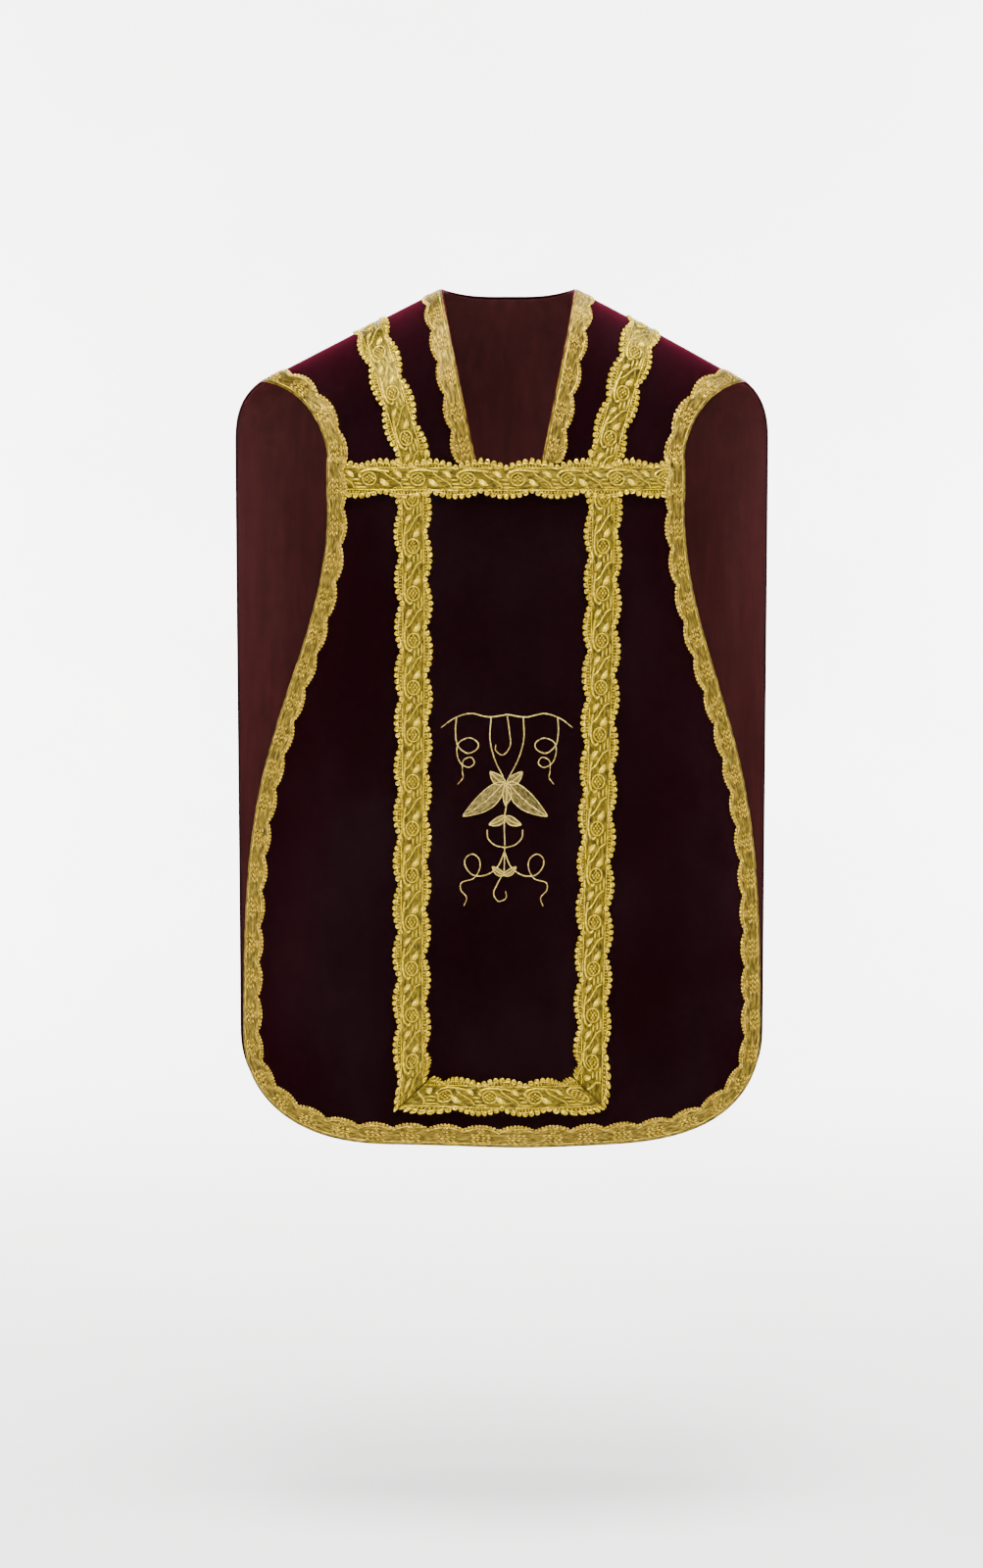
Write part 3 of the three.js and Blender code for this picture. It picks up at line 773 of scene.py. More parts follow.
def smooth_path(points, step=1.6):
    """A smooth path through a few points, as a Catmull-Rom curve"""
    points = np.asarray(points, float)
    ends = np.concatenate([[2 * points[0] - points[1]], points, [2 * points[-1] - points[-2]]])
    pieces = []
    for k in range(1, len(ends) - 2):
        p0, p1, p2, p3 = ends[k - 1:k + 3]
        count = parts(np.linalg.norm(p2 - p1), step, least=3)
        q = np.linspace(0.0, 1.0, count, endpoint=False)[:, None]
        curve = 2 * p1 + (p2 - p0) * q + (2 * p0 - 5 * p1 + 4 * p2 - p3) * q ** 2
        pieces.append((curve + (3 * p1 - p0 - 3 * p2 + p3) * q ** 3) / 2)
    return np.concatenate(pieces + [points[-1:]])


def along_curve(path, spacing):
    """Evenly spaced points on a path"""
    lengths = np.linalg.norm(np.diff(path, axis=0), axis=1)
    marks = np.concatenate([[0.0], np.cumsum(lengths)])
    count = parts(marks[-1], spacing, least=1)
    stops = (np.arange(count) + 0.5) * marks[-1] / count
    return np.stack([np.interp(stops, marks, path[:, k]) for k in range(2)], axis=-1)


# Materials

class Finish:
    """A material with its Principled shader and short ways to add nodes"""

    def __init__(self, name):
        self.material = bpy.data.materials.new(name)
        self.material.use_nodes = True
        self.tree = self.material.node_tree
        self.shader = self.tree.nodes["Principled BSDF"]

    def set(self, **values):
        for name, value in values.items():
            self.shader.inputs[name.replace("_", " ")].default_value = value

    def node(self, kind, inputs=None, **options):
        node = self.tree.nodes.new(kind)
        for name, value in options.items():
            setattr(node, name, value)
        for name, value in (inputs or {}).items():
            node.inputs[name].default_value = value
        return node

    def link(self, output, target):
        self.tree.links.new(output, target)

    def coordinates(self, kind, scale):
        source = self.node("ShaderNodeTexCoord")
        mapping = self.node("ShaderNodeMapping", {"Scale": scale})
        self.link(source.outputs[kind], mapping.inputs["Vector"])
        return mapping.outputs["Vector"]

    def noise(self, vector, scale, detail=2.0, roughness=0.5):
        node = self.node(
            "ShaderNodeTexNoise", {"Scale": scale, "Detail": detail, "Roughness": roughness}
        )
        self.link(vector, node.inputs["Vector"])
        return node.outputs["Fac"]

    def ribs(self, vector):
        node = self.node(
            "ShaderNodeTexWave", {"Scale": 1.0, "Distortion": 1.2},
            wave_type="BANDS", bands_direction="DIAGONAL",
        )
        self.link(vector, node.inputs["Vector"])
        return node.outputs["Fac"]

    def ramp(self, value, *stops):
        node = self.node("ShaderNodeValToRGB")
        elements = node.color_ramp.elements
        while len(elements) < len(stops):
            elements.new(0.5)
        for element, (position, colour) in zip(elements, stops):
            element.position = position
            element.color = (*colour, 1.0)
        self.link(value, node.inputs["Fac"])
        return node.outputs["Color"]

    def relief(self, fine, share, coarse, strength, distance):
        """Bump from a share of a fine pattern on top of a coarse one"""
        height = self.node("ShaderNodeMath", operation="MULTIPLY_ADD")
        self.link(fine, height.inputs[0])
        height.inputs[1].default_value = share
        self.link(coarse, height.inputs[2])
        bump = self.node("ShaderNodeBump", {"Strength": strength, "Distance": distance})
        self.link(height.outputs["Value"], bump.inputs["Height"])
        self.link(bump.outputs["Normal"], self.shader.inputs["Normal"])


def scaled(colour, factor):
    return tuple(min(channel * factor, 1.0) for channel in colour)


def once(make):
    """Make a material the first time it is asked for, and find it after that"""
    def find_or_make():
        name = make.__name__
        return bpy.data.materials.get(name) or make(Finish(name)).material
    return find_or_make


@once
def burgundy_velvet(finish):
    """Short dense pile: almost black face on, crimson where light grazes it"""
    cloth = settings().cloth
    base = tuple(cloth.velvet_colour)
    place_on_cloth = finish.coordinates("Object", (1.0, 1.0, 1.0))
    brushed_way = finish.coordinates("Object", (1.0, 1.0, 0.6))
    brushed = finish.noise(brushed_way, 8.0, detail=3.0)
    colour = finish.ramp(
        brushed, (0.36, scaled(base, 0.55)), (0.52, base), (0.7, scaled(base, 1.9)),
    )
    finish.link(colour, finish.shader.inputs["Base Color"])
    pile = finish.noise(place_on_cloth, 1500.0)
    patches = finish.noise(place_on_cloth, 26.0, detail=3.0)
    finish.relief(pile, 0.35, patches, strength=0.35, distance=0.0012)
    finish.set(
        Roughness=0.95, Sheen_Weight=1.0, Sheen_Roughness=0.46,
        Sheen_Tint=(*cloth.velvet_sheen, 1.0), Specular_IOR_Level=0.0,
    )
    return finish


@once
def sateen_lining(finish):
    """Fine brownish red sateen with a soft shine along its threads"""
    base = tuple(settings().cloth.lining_colour)
    place_on_cloth = finish.coordinates("Object", (1.0, 1.0, 1.0))
    threads = finish.coordinates("Object", (1.0, 1.0, 0.12))
    streaks = finish.noise(threads, 90.0, detail=5.0, roughness=0.65)
    colour = finish.ramp(
        streaks, (0.3, scaled(base, 0.82)), (0.52, base), (0.72, scaled(base, 1.2)),
    )
    finish.link(colour, finish.shader.inputs["Base Color"])
    weave = finish.noise(threads, 2200.0, detail=1.0)
    soft = finish.noise(place_on_cloth, 30.0)
    finish.relief(weave, 0.3, soft, strength=0.3, distance=0.0009)
    finish.set(
        Roughness=0.6, Sheen_Weight=0.1, Sheen_Roughness=0.4,
        Sheen_Tint=(0.7, 0.13, 0.12, 1.0), Specular_IOR_Level=0.06,
    )
    return finish


def gold(name):
    """Metal thread laid side by side: fine ribs, painted shade in dark gaps and painted glints in
    bright broken dashes
    """
    if name in bpy.data.materials:
        return bpy.data.materials[name]
    finish = Finish(name)
    weave = GOLDS[name]
    # The share is painted light on the trims: a small one gives a ground painted shade, a large one
    # gives the cords a painted highlight
    colour = scaled(getattr(settings().trims, weave.colour), weave.share)
    ribs_at = finish.coordinates("UV", (*weave.ribs, 1.0))
    glint_dashes_at = finish.coordinates("UV", (*weave.dashes, 1.0))
    dashes = finish.noise(glint_dashes_at, 1.0, detail=3.0, roughness=0.62)
    # Painted glints and painted shade: the noise darkens the gold to a fifth in its gaps and
    # brightens it to twice in its dashes
    painted_glints_and_shade = finish.ramp(
        dashes,
        (0.34, scaled(colour, 0.2)), (0.45, scaled(colour, 0.6)),
        (0.54, scaled(colour, 1.1)), (0.64, scaled(colour, 2.0)),
    )
    finish.link(painted_glints_and_shade, finish.shader.inputs["Base Color"])
    finish.relief(finish.ribs(ribs_at), 0.3, dashes, strength=0.9, distance=0.0012)
    finish.set(Metallic=0.85, Roughness=weave.roughness, Specular_IOR_Level=0.5)
    return finish.material


@once
def pale_backdrop(finish):
    """Matt paper, very slightly mottled"""
    place_on_floor = finish.coordinates("Object", (1.0, 1.0, 1.0))
    mottle = finish.noise(place_on_floor, 2.0)
    colour = finish.ramp(mottle, (0.3, (0.86, 0.86, 0.85)), (0.7, (0.9, 0.9, 0.895)))
    finish.link(colour, finish.shader.inputs["Base Color"])
    finish.set(Roughness=0.9, Specular_IOR_Level=0.1)
    return finish


# The velvet and its lining

def cloth_grid(panel, cell, inset):
    """The x and t of a panel's grid, and which of its cells are cloth"""
    deep_neck = panel.neck_foot > 1.0
    corner_top = fall_to(panel.hem + HEM_CORNER.height)
    roll_rows = parts(GRID_RUN.roll, cell)
    corner_rows = parts(GRID_RUN.corner, cell)
    body_rows = parts((corner_top - 1.0) * HANG_STEP, cell)
    span_columns = 2 * parts(GRID_RUN.side, cell, least=3)
    rows = [np.linspace(0.0, 1.0, roll_rows + 1)]
    if deep_neck:
        foot = panel.neck_foot + inset / HANG_STEP
        rows.append(np.array([foot]))
    rows.append(np.linspace(rows[-1][-1], corner_top, body_rows + 1)[1:])
    angle = np.linspace(0.0, math.pi / 2.0, corner_rows + 1)[1:]
    height = HEM_CORNER.height
    down = np.minimum(np.sin(angle) ** (2.0 / HEM_CORNER.power) * height, height - inset)
    rows.append(corner_top + down / HANG_STEP)
    row = np.concatenate(rows)[:, None]

    even_out, nape_inset = 2.5, 0.6
    edge = panel.edge(row) - inset
    below_neck = smooth((row - panel.neck_foot) / even_out)
    split = mix(panel.neck_edge(row) + inset, edge / 3.0, below_neck)
    even = np.linspace(0.0, 1.0, span_columns + 1)[None, :]
    middle = 2.0 * even - 1.0
    bunched = mix(np.sin(middle * math.pi / 2.0), middle, below_neck)
    x = np.concatenate(
        [mix(-edge, -split, even)[:, :-1], split * bunched, mix(split, edge, even)[:, 1:]], axis=1
    )
    keep = np.ones((len(row) - 1, x.shape[1] - 1), bool)
    if deep_neck:
        top = np.zeros(x.shape)
        keep[row[1:, 0] <= foot, span_columns:2 * span_columns] = False
    else:
        between = np.abs(x) < NECK_HALF_WIDTH
        top = nape(x) + between * inset / HANG_STEP * nape_inset
    t = np.where(row < 1.0, mix(top, 1.0, row), row)
    return x, t, keep


def cloth_wall(panel, cell, outer_lift, inner_lift, inset=0.0):
    """A closed wall of cloth between two distances from the velvet's face"""
    x, t, keep = cloth_grid(panel, cell, inset)
    points = place(panel, x, t)
    out = directions(panel, x, t)[2]
    form = Form()
    uvs = np.stack([x, -t * HANG_STEP], axis=-1)
    wall(form, points + out * outer_lift, points + out * inner_lift, uvs, keep)
    return form


class CHASUBLE_OT_velvet(bpy.types.Operator):
    """Make the front and back panels of velvet"""

    bl_idname = "chasuble.velvet"
    bl_label = "Velvet Panels"

    def execute(self, context):
        cloth = settings().cloth
        for panel in (FRONT, BACK):
            form = cloth_wall(panel, cloth.cell_size / MM, 0.0, -cloth.velvet_thickness / MM)
            name = panel.name
            form.build(f"{name}_velvet", [burgundy_velvet()], "velvet", f"{name}_panel")
        return {"FINISHED"}


class CHASUBLE_OT_lining(bpy.types.Operator):
    """Make the linings of both panels"""

    bl_idname = "chasuble.lining"
    bl_label = "Linings"

    def execute(self, context):
        cloth = settings().cloth
        outer = -(cloth.velvet_thickness + cloth.lining_gap) / MM
        inner = outer - cloth.lining_thickness / MM
        inset = cloth.lining_inset / MM
        cell = LINING_CELL * cloth.cell_size / MM
        for panel in (FRONT, BACK):
            form = cloth_wall(panel, cell, outer, inner, inset)
            name = panel.name
            form.build(f"{name}_sateen_lining", [sateen_lining()], "lining", f"{name}_lining")
        return {"FINISHED"}


# The narrow galloon

def galloon_far(s, pitch):
    """The lobed edge of the narrow galloon"""
    trims = settings().trims
    lobes = np.abs(np.sin(math.pi * s / pitch)) ** GALLOON.lobe_power
    return (trims.galloon_valley + trims.galloon_lobe * lobes) / MM


def ground(form, strip, low, high, columns, step, height):
    """The woven ground of a trim between two edges, thinner at its sides"""
    count = parts(strip.length, step, least=4)
    s = np.linspace(0.0, strip.length, count + 1)[:, None]
    share = np.linspace(0.0, 1.0, columns + 1)[None, :]
    s, share = np.broadcast_arrays(s, share)
    v = mix(low(s), high(s), share)
    profile = (1.0 - np.abs(2.0 * share - 1.0) ** GROUND.power) ** 0.5
    rise = height(v) * mix(GROUND.side_height, 1.0, profile)
    outer = strip.chart(s, v, rise)
    inner = strip.chart(s, v, np.zeros(s.shape))
    wall(form, outer, inner, np.stack([s, v], axis=-1))


def galloon_piece(name, node, strip, side):
    """Narrow galloon: satin edge, slanted stitches, rosettes in the lobes and a picot edge"""
    form = Form()
    plan = GALLOON

    def edge(s):
        return np.full(s.shape, side * plan.edge)

    def lobed(s, inset):
        return side * (galloon_far(s, strip.pitch) - inset)

    def height(v):
        past_satin = (np.abs(v) - plan.satin_width) / plan.step_run
        return plan.satin_level + plan.face_step * smooth(past_satin)

    ground(form, strip, edge, lambda s: lobed(s, plan.rim), plan.columns, plan.step, height)
    s = strip.stations(plan.cord_step)
    satin_line = np.full(s.shape, side * plan.satin_cord)
    lobed_line = lobed(s, plan.lobe_cord)
    for line, radius in ((satin_line, plan.satin_radius), (lobed_line, plan.lobe_radius)):
        cord(form, strip, np.stack([s, line], -1), radius, plan.face, sides=4)

    lobes = (np.arange(round(strip.length / strip.pitch)) + 0.5) * strip.pitch
    for row in range(plan.stitch_rows):
        odd = row % 2
        slant = -plan.slant if odd else plan.slant
        stitch = knot_template(*plan.stitch, slant * side)
        v = side * (plan.first_row + plan.row_gap * row)
        offsets = np.array(plan.stitches) + plan.row_shift * odd
        centres = [(middle + ds, v) for middle in lobes for ds in offsets]
        copies(form, strip, centres, stitch, plan.face)
    petals = [(0.0, plan.rosette)]
    for k in range(plan.petals):
        turn = k * 2.0 * math.pi / plan.petals
        across = plan.rosette + plan.rosette_width * math.sin(turn)
        petals.append((plan.rosette_length * math.cos(turn), across))
    centres = [(middle + ds, side * v) for middle in lobes for ds, v in petals]
    copies(form, strip, centres, knot_template(*plan.petal), plan.face)

    s = strip.stations(FINE_STEP)
    picots = along_curve(np.stack([s, lobed(s, plan.picot_inset)], -1), plan.picot_gap)
    copies(form, strip, picots, loop_template(*plan.picot), plan.picot_level)
    form.build(name, [gold("galloon_ground"), gold("galloon_cord")], "galloon", node)


def outline_of(panel):
    """The panel's edge from its right shoulder end, round the hem, to the left one"""
    corner_top = fall_to(panel.hem + HEM_CORNER.height)
    roll_points, side_points, corner_points, hem_points = 60, 160, 90, 60
    angle = np.linspace(0.0, math.pi / 2.0, corner_points)
    down = np.sin(angle) ** (2.0 / HEM_CORNER.power) * HEM_CORNER.height
    t = np.concatenate([
        np.linspace(0.0, 1.0, roll_points, endpoint=False),
        np.linspace(1.0, corner_top, side_points, endpoint=False),
        corner_top + down / HANG_STEP,
    ])
    x = panel.edge(t)
    hem = np.linspace(x[-1], -x[-1], hem_points)[1:-1]
    all_x = np.concatenate([x, hem, -x[::-1]])
    all_t = np.concatenate([t, np.full(len(hem), t[-1]), t[::-1]])
    return Line(panel, all_x, all_t)


class CHASUBLE_OT_galloon(bpy.types.Operator):
    """Make the narrow galloon round both panels and round the neck"""

    bl_idname = "chasuble.galloon"
    bl_label = "Narrow Galloon"

    def execute(self, context):
        pitch = settings().trims.galloon_pitch / MM
        front = Strip(outline_of(FRONT), pitch, raised_at=BRAID_PLAN.band_level)
        galloon_piece("front_border_scallops", "front_border_galloon", front, 1.0)
        skew = GALLOON.back_skew
        back = Strip(outline_of(BACK), pitch, skew_start=-skew, skew_end=skew)
        galloon_piece("back_border_scallops", "back_border_galloon", back, 1.0)
        t = np.linspace(0.0, fall_to(BRAID_PLAN.band_level + BRAID_PLAN.neck_galloon_end), 160)
        for word, side in SIDES:
            strip = Strip(Line(FRONT, side * FRONT.neck_edge(t), t), pitch)
            galloon_piece(f"neck_scallops_{word}", f"neck_galloon_{word}", strip, -side)
        x = NECK_HALF_WIDTH * np.cos(np.linspace(0.0, math.pi, 120))
        strip = Strip(Line(BACK, x, nape(x)), pitch)
        galloon_piece("neck_scallops_nape", "neck_galloon_back", strip, -1.0)
        return {"FINISHED"}


# The wide braid

def braid_half(s, pitch, phase):
    """Half the width of the wide braid at s, on one side"""
    trims = settings().trims
    lobes = np.abs(np.sin(math.pi * (s / pitch + phase))) ** BRAID.lobe_power
    return (trims.braid_valley + trims.braid_lobe * lobes) / MM


def figure_cord(form, strip, path, radius, level, least=4):
    """A cord of the figure, as far as it lies on the strip, if that is enough of its points"""
    margin = FIGURE.end_margin
    path = path[(path[:, 0] > margin) & (path[:, 0] < strip.length - margin)]
    if len(path) >= least:
        cord(form, strip, path, radius, level, sides=5, flatness=0.8)


def figure(form, strip):
    """The woven figure of the braid: ringed berries, three buds, a hook, a stem and two leaves"""
    plan = FIGURE
    around = np.linspace(0.0, 2.0 * math.pi, 19)
    ring = np.stack([plan.ring[0] * np.cos(around), plan.ring[1] * np.sin(around)], -1)
    q = np.linspace(-1.0, 1.0, 15)
    sway = plan.stem_sway * np.sin(math.pi * q)
    stem = np.stack([plan.stem_middle + plan.stem_half[0] * q + sway, plan.stem_half[1] * q], -1)
    along_bud = np.linspace(0.0, 1.0, plan.bud_stations)
    swell = plan.bud_thin + plan.bud_swell * np.sin(math.pi * along_bud)
    berries = []
    for k in range(round(strip.length / strip.pitch)):
        middle = np.array([(k + plan.middle) * strip.pitch, 0.0])
        berries += [middle + point for point in BERRIES]
        hook = smooth_path([middle + point for point in HOOK], plan.hook_step)
        figure_cord(form, strip, middle + ring, plan.thin, plan.cord_level)
        figure_cord(form, strip, middle + stem, plan.thin, plan.cord_level)
        figure_cord(form, strip, hook, plan.thick, plan.cord_level)
        for bud in BUDS:
            run = np.linspace(bud.near, bud.far, plan.bud_stations)
            path = middle + np.stack([run, np.full(run.shape, bud.across)], -1)
            figure_cord(form, strip, path, swell, plan.bud_level, least=plan.bud_stations)
        for shape in BRAID_LEAVES:
            base, tip = middle + shape.base, middle + shape.tip
            if tip[0] > plan.leaf_start and base[0] < strip.length - plan.leaf_end:
                leaf(
                    form, strip, base, tip, shape.width, plan.leaf_height, plan.leaf_bend,
                    plan.leaf_cells, rise=plan.leaf_level,
                )
    copies(form, strip, berries, knot_template(*plan.berry), plan.berry_level)


def bars(form, strip, side, phase):
    """The short bars between the straight cord and the lobed edge"""
    s = np.arange(BRAID.first_bar, strip.length - BRAID.last_bar, BRAID.bar_gap)
    room = braid_half(s, strip.pitch, phase) - BRAID.bar_room
    wide = room > BRAID.least_room
    v = side * (BRAID.bar_foot + room) / 2.0
    centres = np.stack([s, v], -1)[wide]
    copies(form, strip, centres, knot_template(*BRAID.bar), BRAID.bar_level)


def braid_piece(name, node, strip):
    """Wide braid: woven ground and figure, straight cords, bars and picots on both edges"""
    form = Form()
    plan = BRAID
    edges = ((-1.0, 0.0), (1.0, 0.5))

    def low(s):
        return -(braid_half(s, strip.pitch, 0.0) - plan.rim)

    def high(s):
        return braid_half(s, strip.pitch, 0.5) - plan.rim

    def height(v):
        return plan.ground_level + plan.belly * bell(v / plan.belly_width)

    ground(form, strip, low, high, plan.columns, plan.step, height)
    figure(form, strip)

    s = strip.stations(plan.cord_step)
    for side in (-1.0, 1.0):
        line = np.full(s.shape, side * plan.straight_cord)
        cord(form, strip, np.stack([s, line], -1), plan.straight_radius, plan.face)
    ends = (
        (plan.seam_inset, strip.skew_start), (strip.length - plan.seam_inset, strip.skew_end),
    )
    for end, skew in ends:
        if skew:
            near, far = (side * (braid_half(end, strip.pitch, phase) - plan.seam_rim)
                         for side, phase in edges)
            seam = np.linspace(near, far, 16)
            path = np.stack([np.full(seam.shape, end), seam], -1)
            cord(form, strip, path, plan.seam_radius, plan.seam_level, slot=0, sides=5)
    picot = loop_template(*plan.picot)
    gap = strip.pitch * plan.picot_crowding / settings().trims.picots_per_lobe
    fine = strip.stations(FINE_STEP)
    for side, phase in edges:
        bars(form, strip, side, phase)
        inner_line = side * (braid_half(s, strip.pitch, phase) - plan.lobe_cord)
        path = np.stack([s, inner_line], -1)
        cord(form, strip, path, plan.lobe_radius, plan.lobe_cord_level, sides=4)
        outline = side * (braid_half(fine, strip.pitch, phase) - plan.picot_inset)
        picots = along_curve(np.stack([fine, outline], -1), gap)
        copies(form, strip, picots, picot, plan.picot_level)
    form.build(name, [gold("braid_ground"), gold("braid_cord")], "braid", node)


class CHASUBLE_OT_braid(bpy.types.Operator):
    """Make the band, the shoulder strips and the columns of wide braid"""

    bl_idname = "chasuble.braid"
    bl_label = "Wide Braid"

    def execute(self, context):
        plan = BRAID_PLAN
        x = np.linspace(plan.band_end, -plan.band_end, 160)
        line = Line(FRONT, x, fall_to(plan.band_level))
        self.strip("front_band_braid", "front_band", line, lift=plan.band_lift)
        for word, side in SIDES:
            self.shoulder_strip(word, side)
            self.front_column(word, side)
            self.back_column(word, side)
        self.foot("front_column_foot_lobes", "front_column_braid_foot", FRONT, plan.front_foot)
        self.foot("back_column_foot_lobes", "back_column_braid_foot", BACK, plan.back_foot)
        return {"FINISHED"}

    def strip(self, name, node, line, **options):
        pitch = settings().trims.braid_pitch / MM
        braid_piece(name, node, Strip(line, pitch, **options))

    def shoulder_strip(self, word, side):
        plan = BRAID_PLAN
        t = np.linspace(0.0, fall_to(plan.band_level) - plan.under_band, 160)
        x = side * mix(plan.band_x, plan.seam_x, np.clip(np.cos(roll_angle(t)), 0.0, 1.0))
        node = f"front_shoulder_braid_{word}"
        self.strip(f"front_shoulder_lobes_{word}", node, Line(FRONT, x, t))

    def front_column(self, word, side):
        plan = BRAID_PLAN
        band_t, foot_t = fall_to(plan.band_level), fall_to(plan.front_foot)
        t = np.linspace(band_t + plan.under_band, foot_t - plan.mitre_t, 200)
        x = side * mix(plan.band_x, plan.foot_x, (t - band_t) / (foot_t - band_t))
        node = f"front_column_braid_{word}"
        self.strip(f"front_column_lobes_{word}", node, Line(FRONT, x, t), skew_end=-side)

    def back_column(self, word, side):
        plan = BRAID_PLAN
        t = np.linspace(0.0, fall_to(plan.back_foot) - plan.mitre_t, 300)
        rolled = (CHEST_DROP + crest(plan.seam_x)) * (1.0 - np.cos(roll_angle(t)))
        hung = -CHEST_DROP - hang_level(t)
        x = side * mix(plan.foot_x, plan.seam_x, bell((rolled + hung) / plan.back_pull))
        node = f"back_column_braid_{word}"
        self.strip(f"back_column_lobes_{word}", node, Line(BACK, x, t), skew_end=-side)

    def foot(self, name, node, panel, level):
        end = BRAID_PLAN.foot_x - BRAID_PLAN.mitre_x
        line = Line(panel, np.linspace(end, -end, 80), fall_to(level))
        self.strip(name, node, line, skew_start=1.0, skew_end=-1.0)


# The embroidery

class CHASUBLE_OT_embroidery(bpy.types.Operator):
    """Embroider the spray of leaves and tendrils in the front column"""

    bl_idname = "chasuble.embroidery"
    bl_label = "Embroidery"

    def execute(self, context):
        form = Form()
        field = Field(FRONT)
        for thread in SPRAY_THREADS:
            for side in self.sides(thread):
                path = smooth_path([(side * x, level) for x, level in thread.points])
                radius = thread.thickness / 2.0 * np.linspace(1.0, SPRAY.thin_end, len(path))
                self.stitch(form, field, path, radius, SPRAY.thread_level)
        for shape in SPRAY_LEAVES:
            for side in self.sides(shape):
                base = (side * shape.base[0], shape.base[1])
                tip = (side * shape.tip[0], shape.tip[1])
                bend = side * shape.width * SPRAY.leaf_bend
                lines = leaf(
                    form, field, base, tip, shape.width, SPRAY.leaf_height, bend, SPRAY.leaf_cells
                )
                for line in lines:
                    self.stitch(form, field, line, SPRAY.outline_radius, SPRAY.outline_level)
        threads = [gold("embroidery_thread"), gold("embroidery_filling")]
        form.build("front_spray_embroidery", threads, "braid")
        return {"FINISHED"}

    def sides(self, item):
        return (1.0, -1.0) if item.mirrored else (1.0,)

    def stitch(self, form, field, path, radius, level):
        """A line of the thread itself, which has the first of the piece's two materials"""
        cord(form, field, path, radius, level, slot=0, flatness=SPRAY.flatness)


# A step that does nothing

class CHASUBLE_OT_declare(bpy.types.Operator):
    """A step that does nothing: it returns at once"""

    bl_idname = "chasuble.declare"
    bl_label = "Declare Cloth"

    def execute(self, context):
        return {"FINISHED"}


# The stage

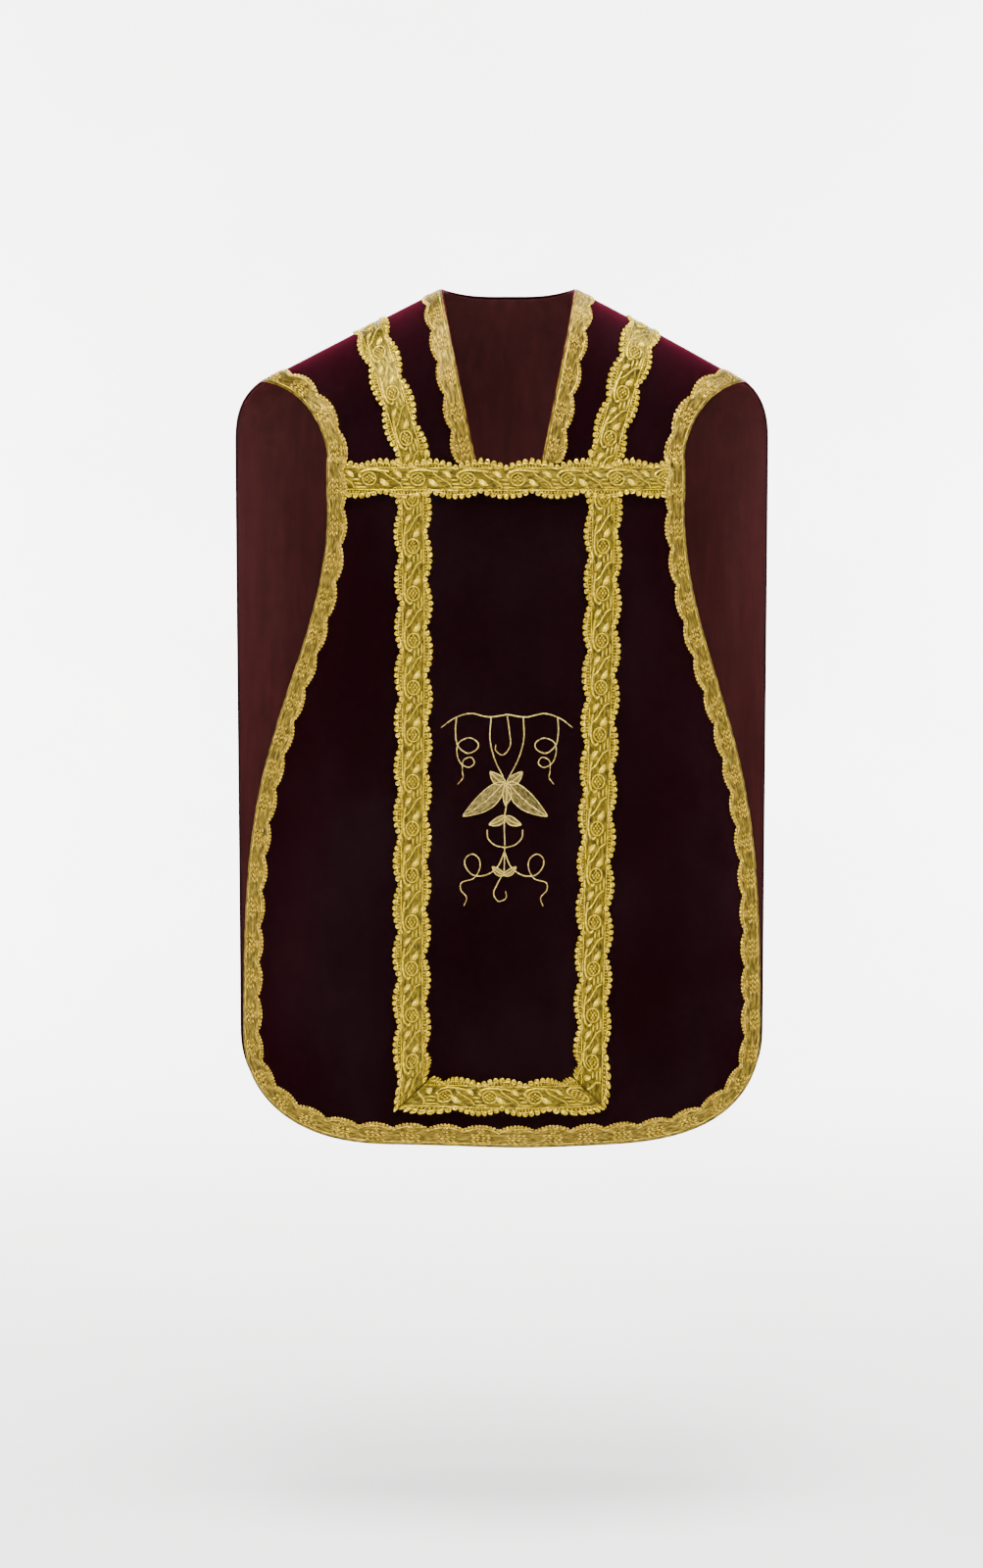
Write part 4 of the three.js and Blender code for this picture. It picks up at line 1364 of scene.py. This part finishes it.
class CHASUBLE_OT_stage(bpy.types.Operator):
    """Set the camera, the backdrop and the lights"""

    bl_idname = "chasuble.stage"
    bl_label = "Stage"

    def execute(self, context):
        self.camera(context.scene)
        self.backdrop()
        self.lights(context.scene)
        return {"FINISHED"}

    def camera(self, scene):
        stage = settings().stage
        data = bpy.data.cameras.new("camera")
        data.lens = stage.focal_length
        data.sensor_width = SENSOR_WIDTH
        data.clip_end = 50.0
        camera = bpy.data.objects.new("camera", data)
        camera.location = (stage.camera_side, CHEST_Y - stage.camera_distance, stage.camera_level)
        pitch = math.atan2(stage.aim_level - stage.camera_level, stage.camera_distance)
        camera.rotation_euler = (math.pi / 2.0 + pitch, 0.0, 0.0)
        scene.collection.objects.link(camera)
        scene.camera = camera

    def backdrop(self):
        """A wide round bowl: a cylinder without its lid, with a broad bend round its foot"""
        middle = settings().stage.floor_level + BOWL.height / 2.0
        bpy.ops.object.select_all(action="DESELECT")
        bpy.ops.mesh.primitive_cylinder_add(
            vertices=BOWL.sides, radius=BOWL.radius, depth=BOWL.height,
            location=(0.0, 0.0, middle),
        )
        backdrop = bpy.context.object
        backdrop.name = "backdrop"
        bpy.ops.object.transform_apply(location=True, rotation=False, scale=False)
        mesh = backdrop.data
        self.select(mesh, "FACE", lambda face: face.normal.z > 0.5)
        bpy.ops.mesh.delete(type="FACE")
        points = mesh.vertices
        self.select(mesh, "EDGE", lambda rim: all(points[k].co.z < middle for k in rim.vertices))
        bpy.ops.mesh.bevel(
            offset=BOWL.bend, segments=BOWL.bend_cells, profile=0.5, clamp_overlap=False,
        )
        bpy.ops.mesh.select_all(action="SELECT")
        bpy.ops.mesh.flip_normals()
        bpy.ops.object.mode_set(mode="OBJECT")
        bpy.ops.object.shade_smooth()
        mesh.materials.append(pale_backdrop())

    def select(self, mesh, kind, wanted):
        """Go into edit mode with the wanted faces or edges selected and nothing else"""
        bpy.ops.object.mode_set(mode="EDIT")
        bpy.ops.mesh.select_mode(type=kind)
        bpy.ops.mesh.select_all(action="DESELECT")
        bpy.ops.object.mode_set(mode="OBJECT")
        for element in mesh.polygons if kind == "FACE" else mesh.edges:
            element.select = wanted(element)
        bpy.ops.object.mode_set(mode="EDIT")

    def lights(self, scene):
        world = bpy.data.worlds.new("studio")
        world.use_nodes = True
        background = world.node_tree.nodes["Background"]
        background.inputs["Color"].default_value = (1.0, 1.0, 1.0, 1.0)
        background.inputs["Strength"].default_value = WORLD_STRENGTH
        scene.world = world
        for lamp in LAMPS:
            data = bpy.data.lights.new(lamp.name, "AREA")
            data.size = lamp.size
            data.energy = getattr(settings().stage, lamp.power) * lamp.share
            light = bpy.data.objects.new(lamp.name, data)
            light.location = lamp.place
            aim = np.array(lamp.target) - np.array(lamp.place)
            tilt = math.atan2(math.hypot(aim[0], aim[1]), -aim[2])
            light.rotation_euler = (tilt, 0.0, math.atan2(aim[1], aim[0]) - math.pi / 2.0)
            scene.collection.objects.link(light)


class CHASUBLE_PT_sidebar(bpy.types.Panel):
    """Sizes, colours and steps of the chasuble"""

    bl_idname = "CHASUBLE_PT_sidebar"
    bl_label = "Roman Chasuble"
    bl_space_type = "VIEW_3D"
    bl_region_type = "UI"
    bl_category = "Chasuble"

    def draw(self, context):
        chasuble = context.scene.chasuble
        groups = (("Cloth", chasuble.cloth), ("Trims", chasuble.trims), ("Stage", chasuble.stage))
        for title, group in groups:
            box = self.layout.box()
            box.label(text=title)
            for name in group.__annotations__:
                box.prop(group, name)
        for step in STEPS:
            self.layout.operator(step.bl_idname)


STEPS = (
    CHASUBLE_OT_velvet,
    CHASUBLE_OT_lining,
    CHASUBLE_OT_galloon,
    CHASUBLE_OT_braid,
    CHASUBLE_OT_embroidery,
    CHASUBLE_OT_declare,
    CHASUBLE_OT_stage,
)
GROUPS = (ClothSettings, TrimSettings, StageSettings, ChasubleSettings)
CLASSES = (*GROUPS, *STEPS, CHASUBLE_PT_sidebar)


def register():
    for item in CLASSES:
        bpy.utils.register_class(item)
    bpy.types.Scene.chasuble = PointerProperty(type=ChasubleSettings)


def unregister():
    del bpy.types.Scene.chasuble
    for item in reversed(CLASSES):
        bpy.utils.unregister_class(item)


def main():
    register()
    bpy.ops.chasuble.velvet()
    bpy.ops.chasuble.lining()
    bpy.ops.chasuble.galloon()
    bpy.ops.chasuble.braid()
    bpy.ops.chasuble.embroidery()
    bpy.ops.chasuble.declare()
    bpy.ops.chasuble.stage()


if __name__ == "__main__":
    main()
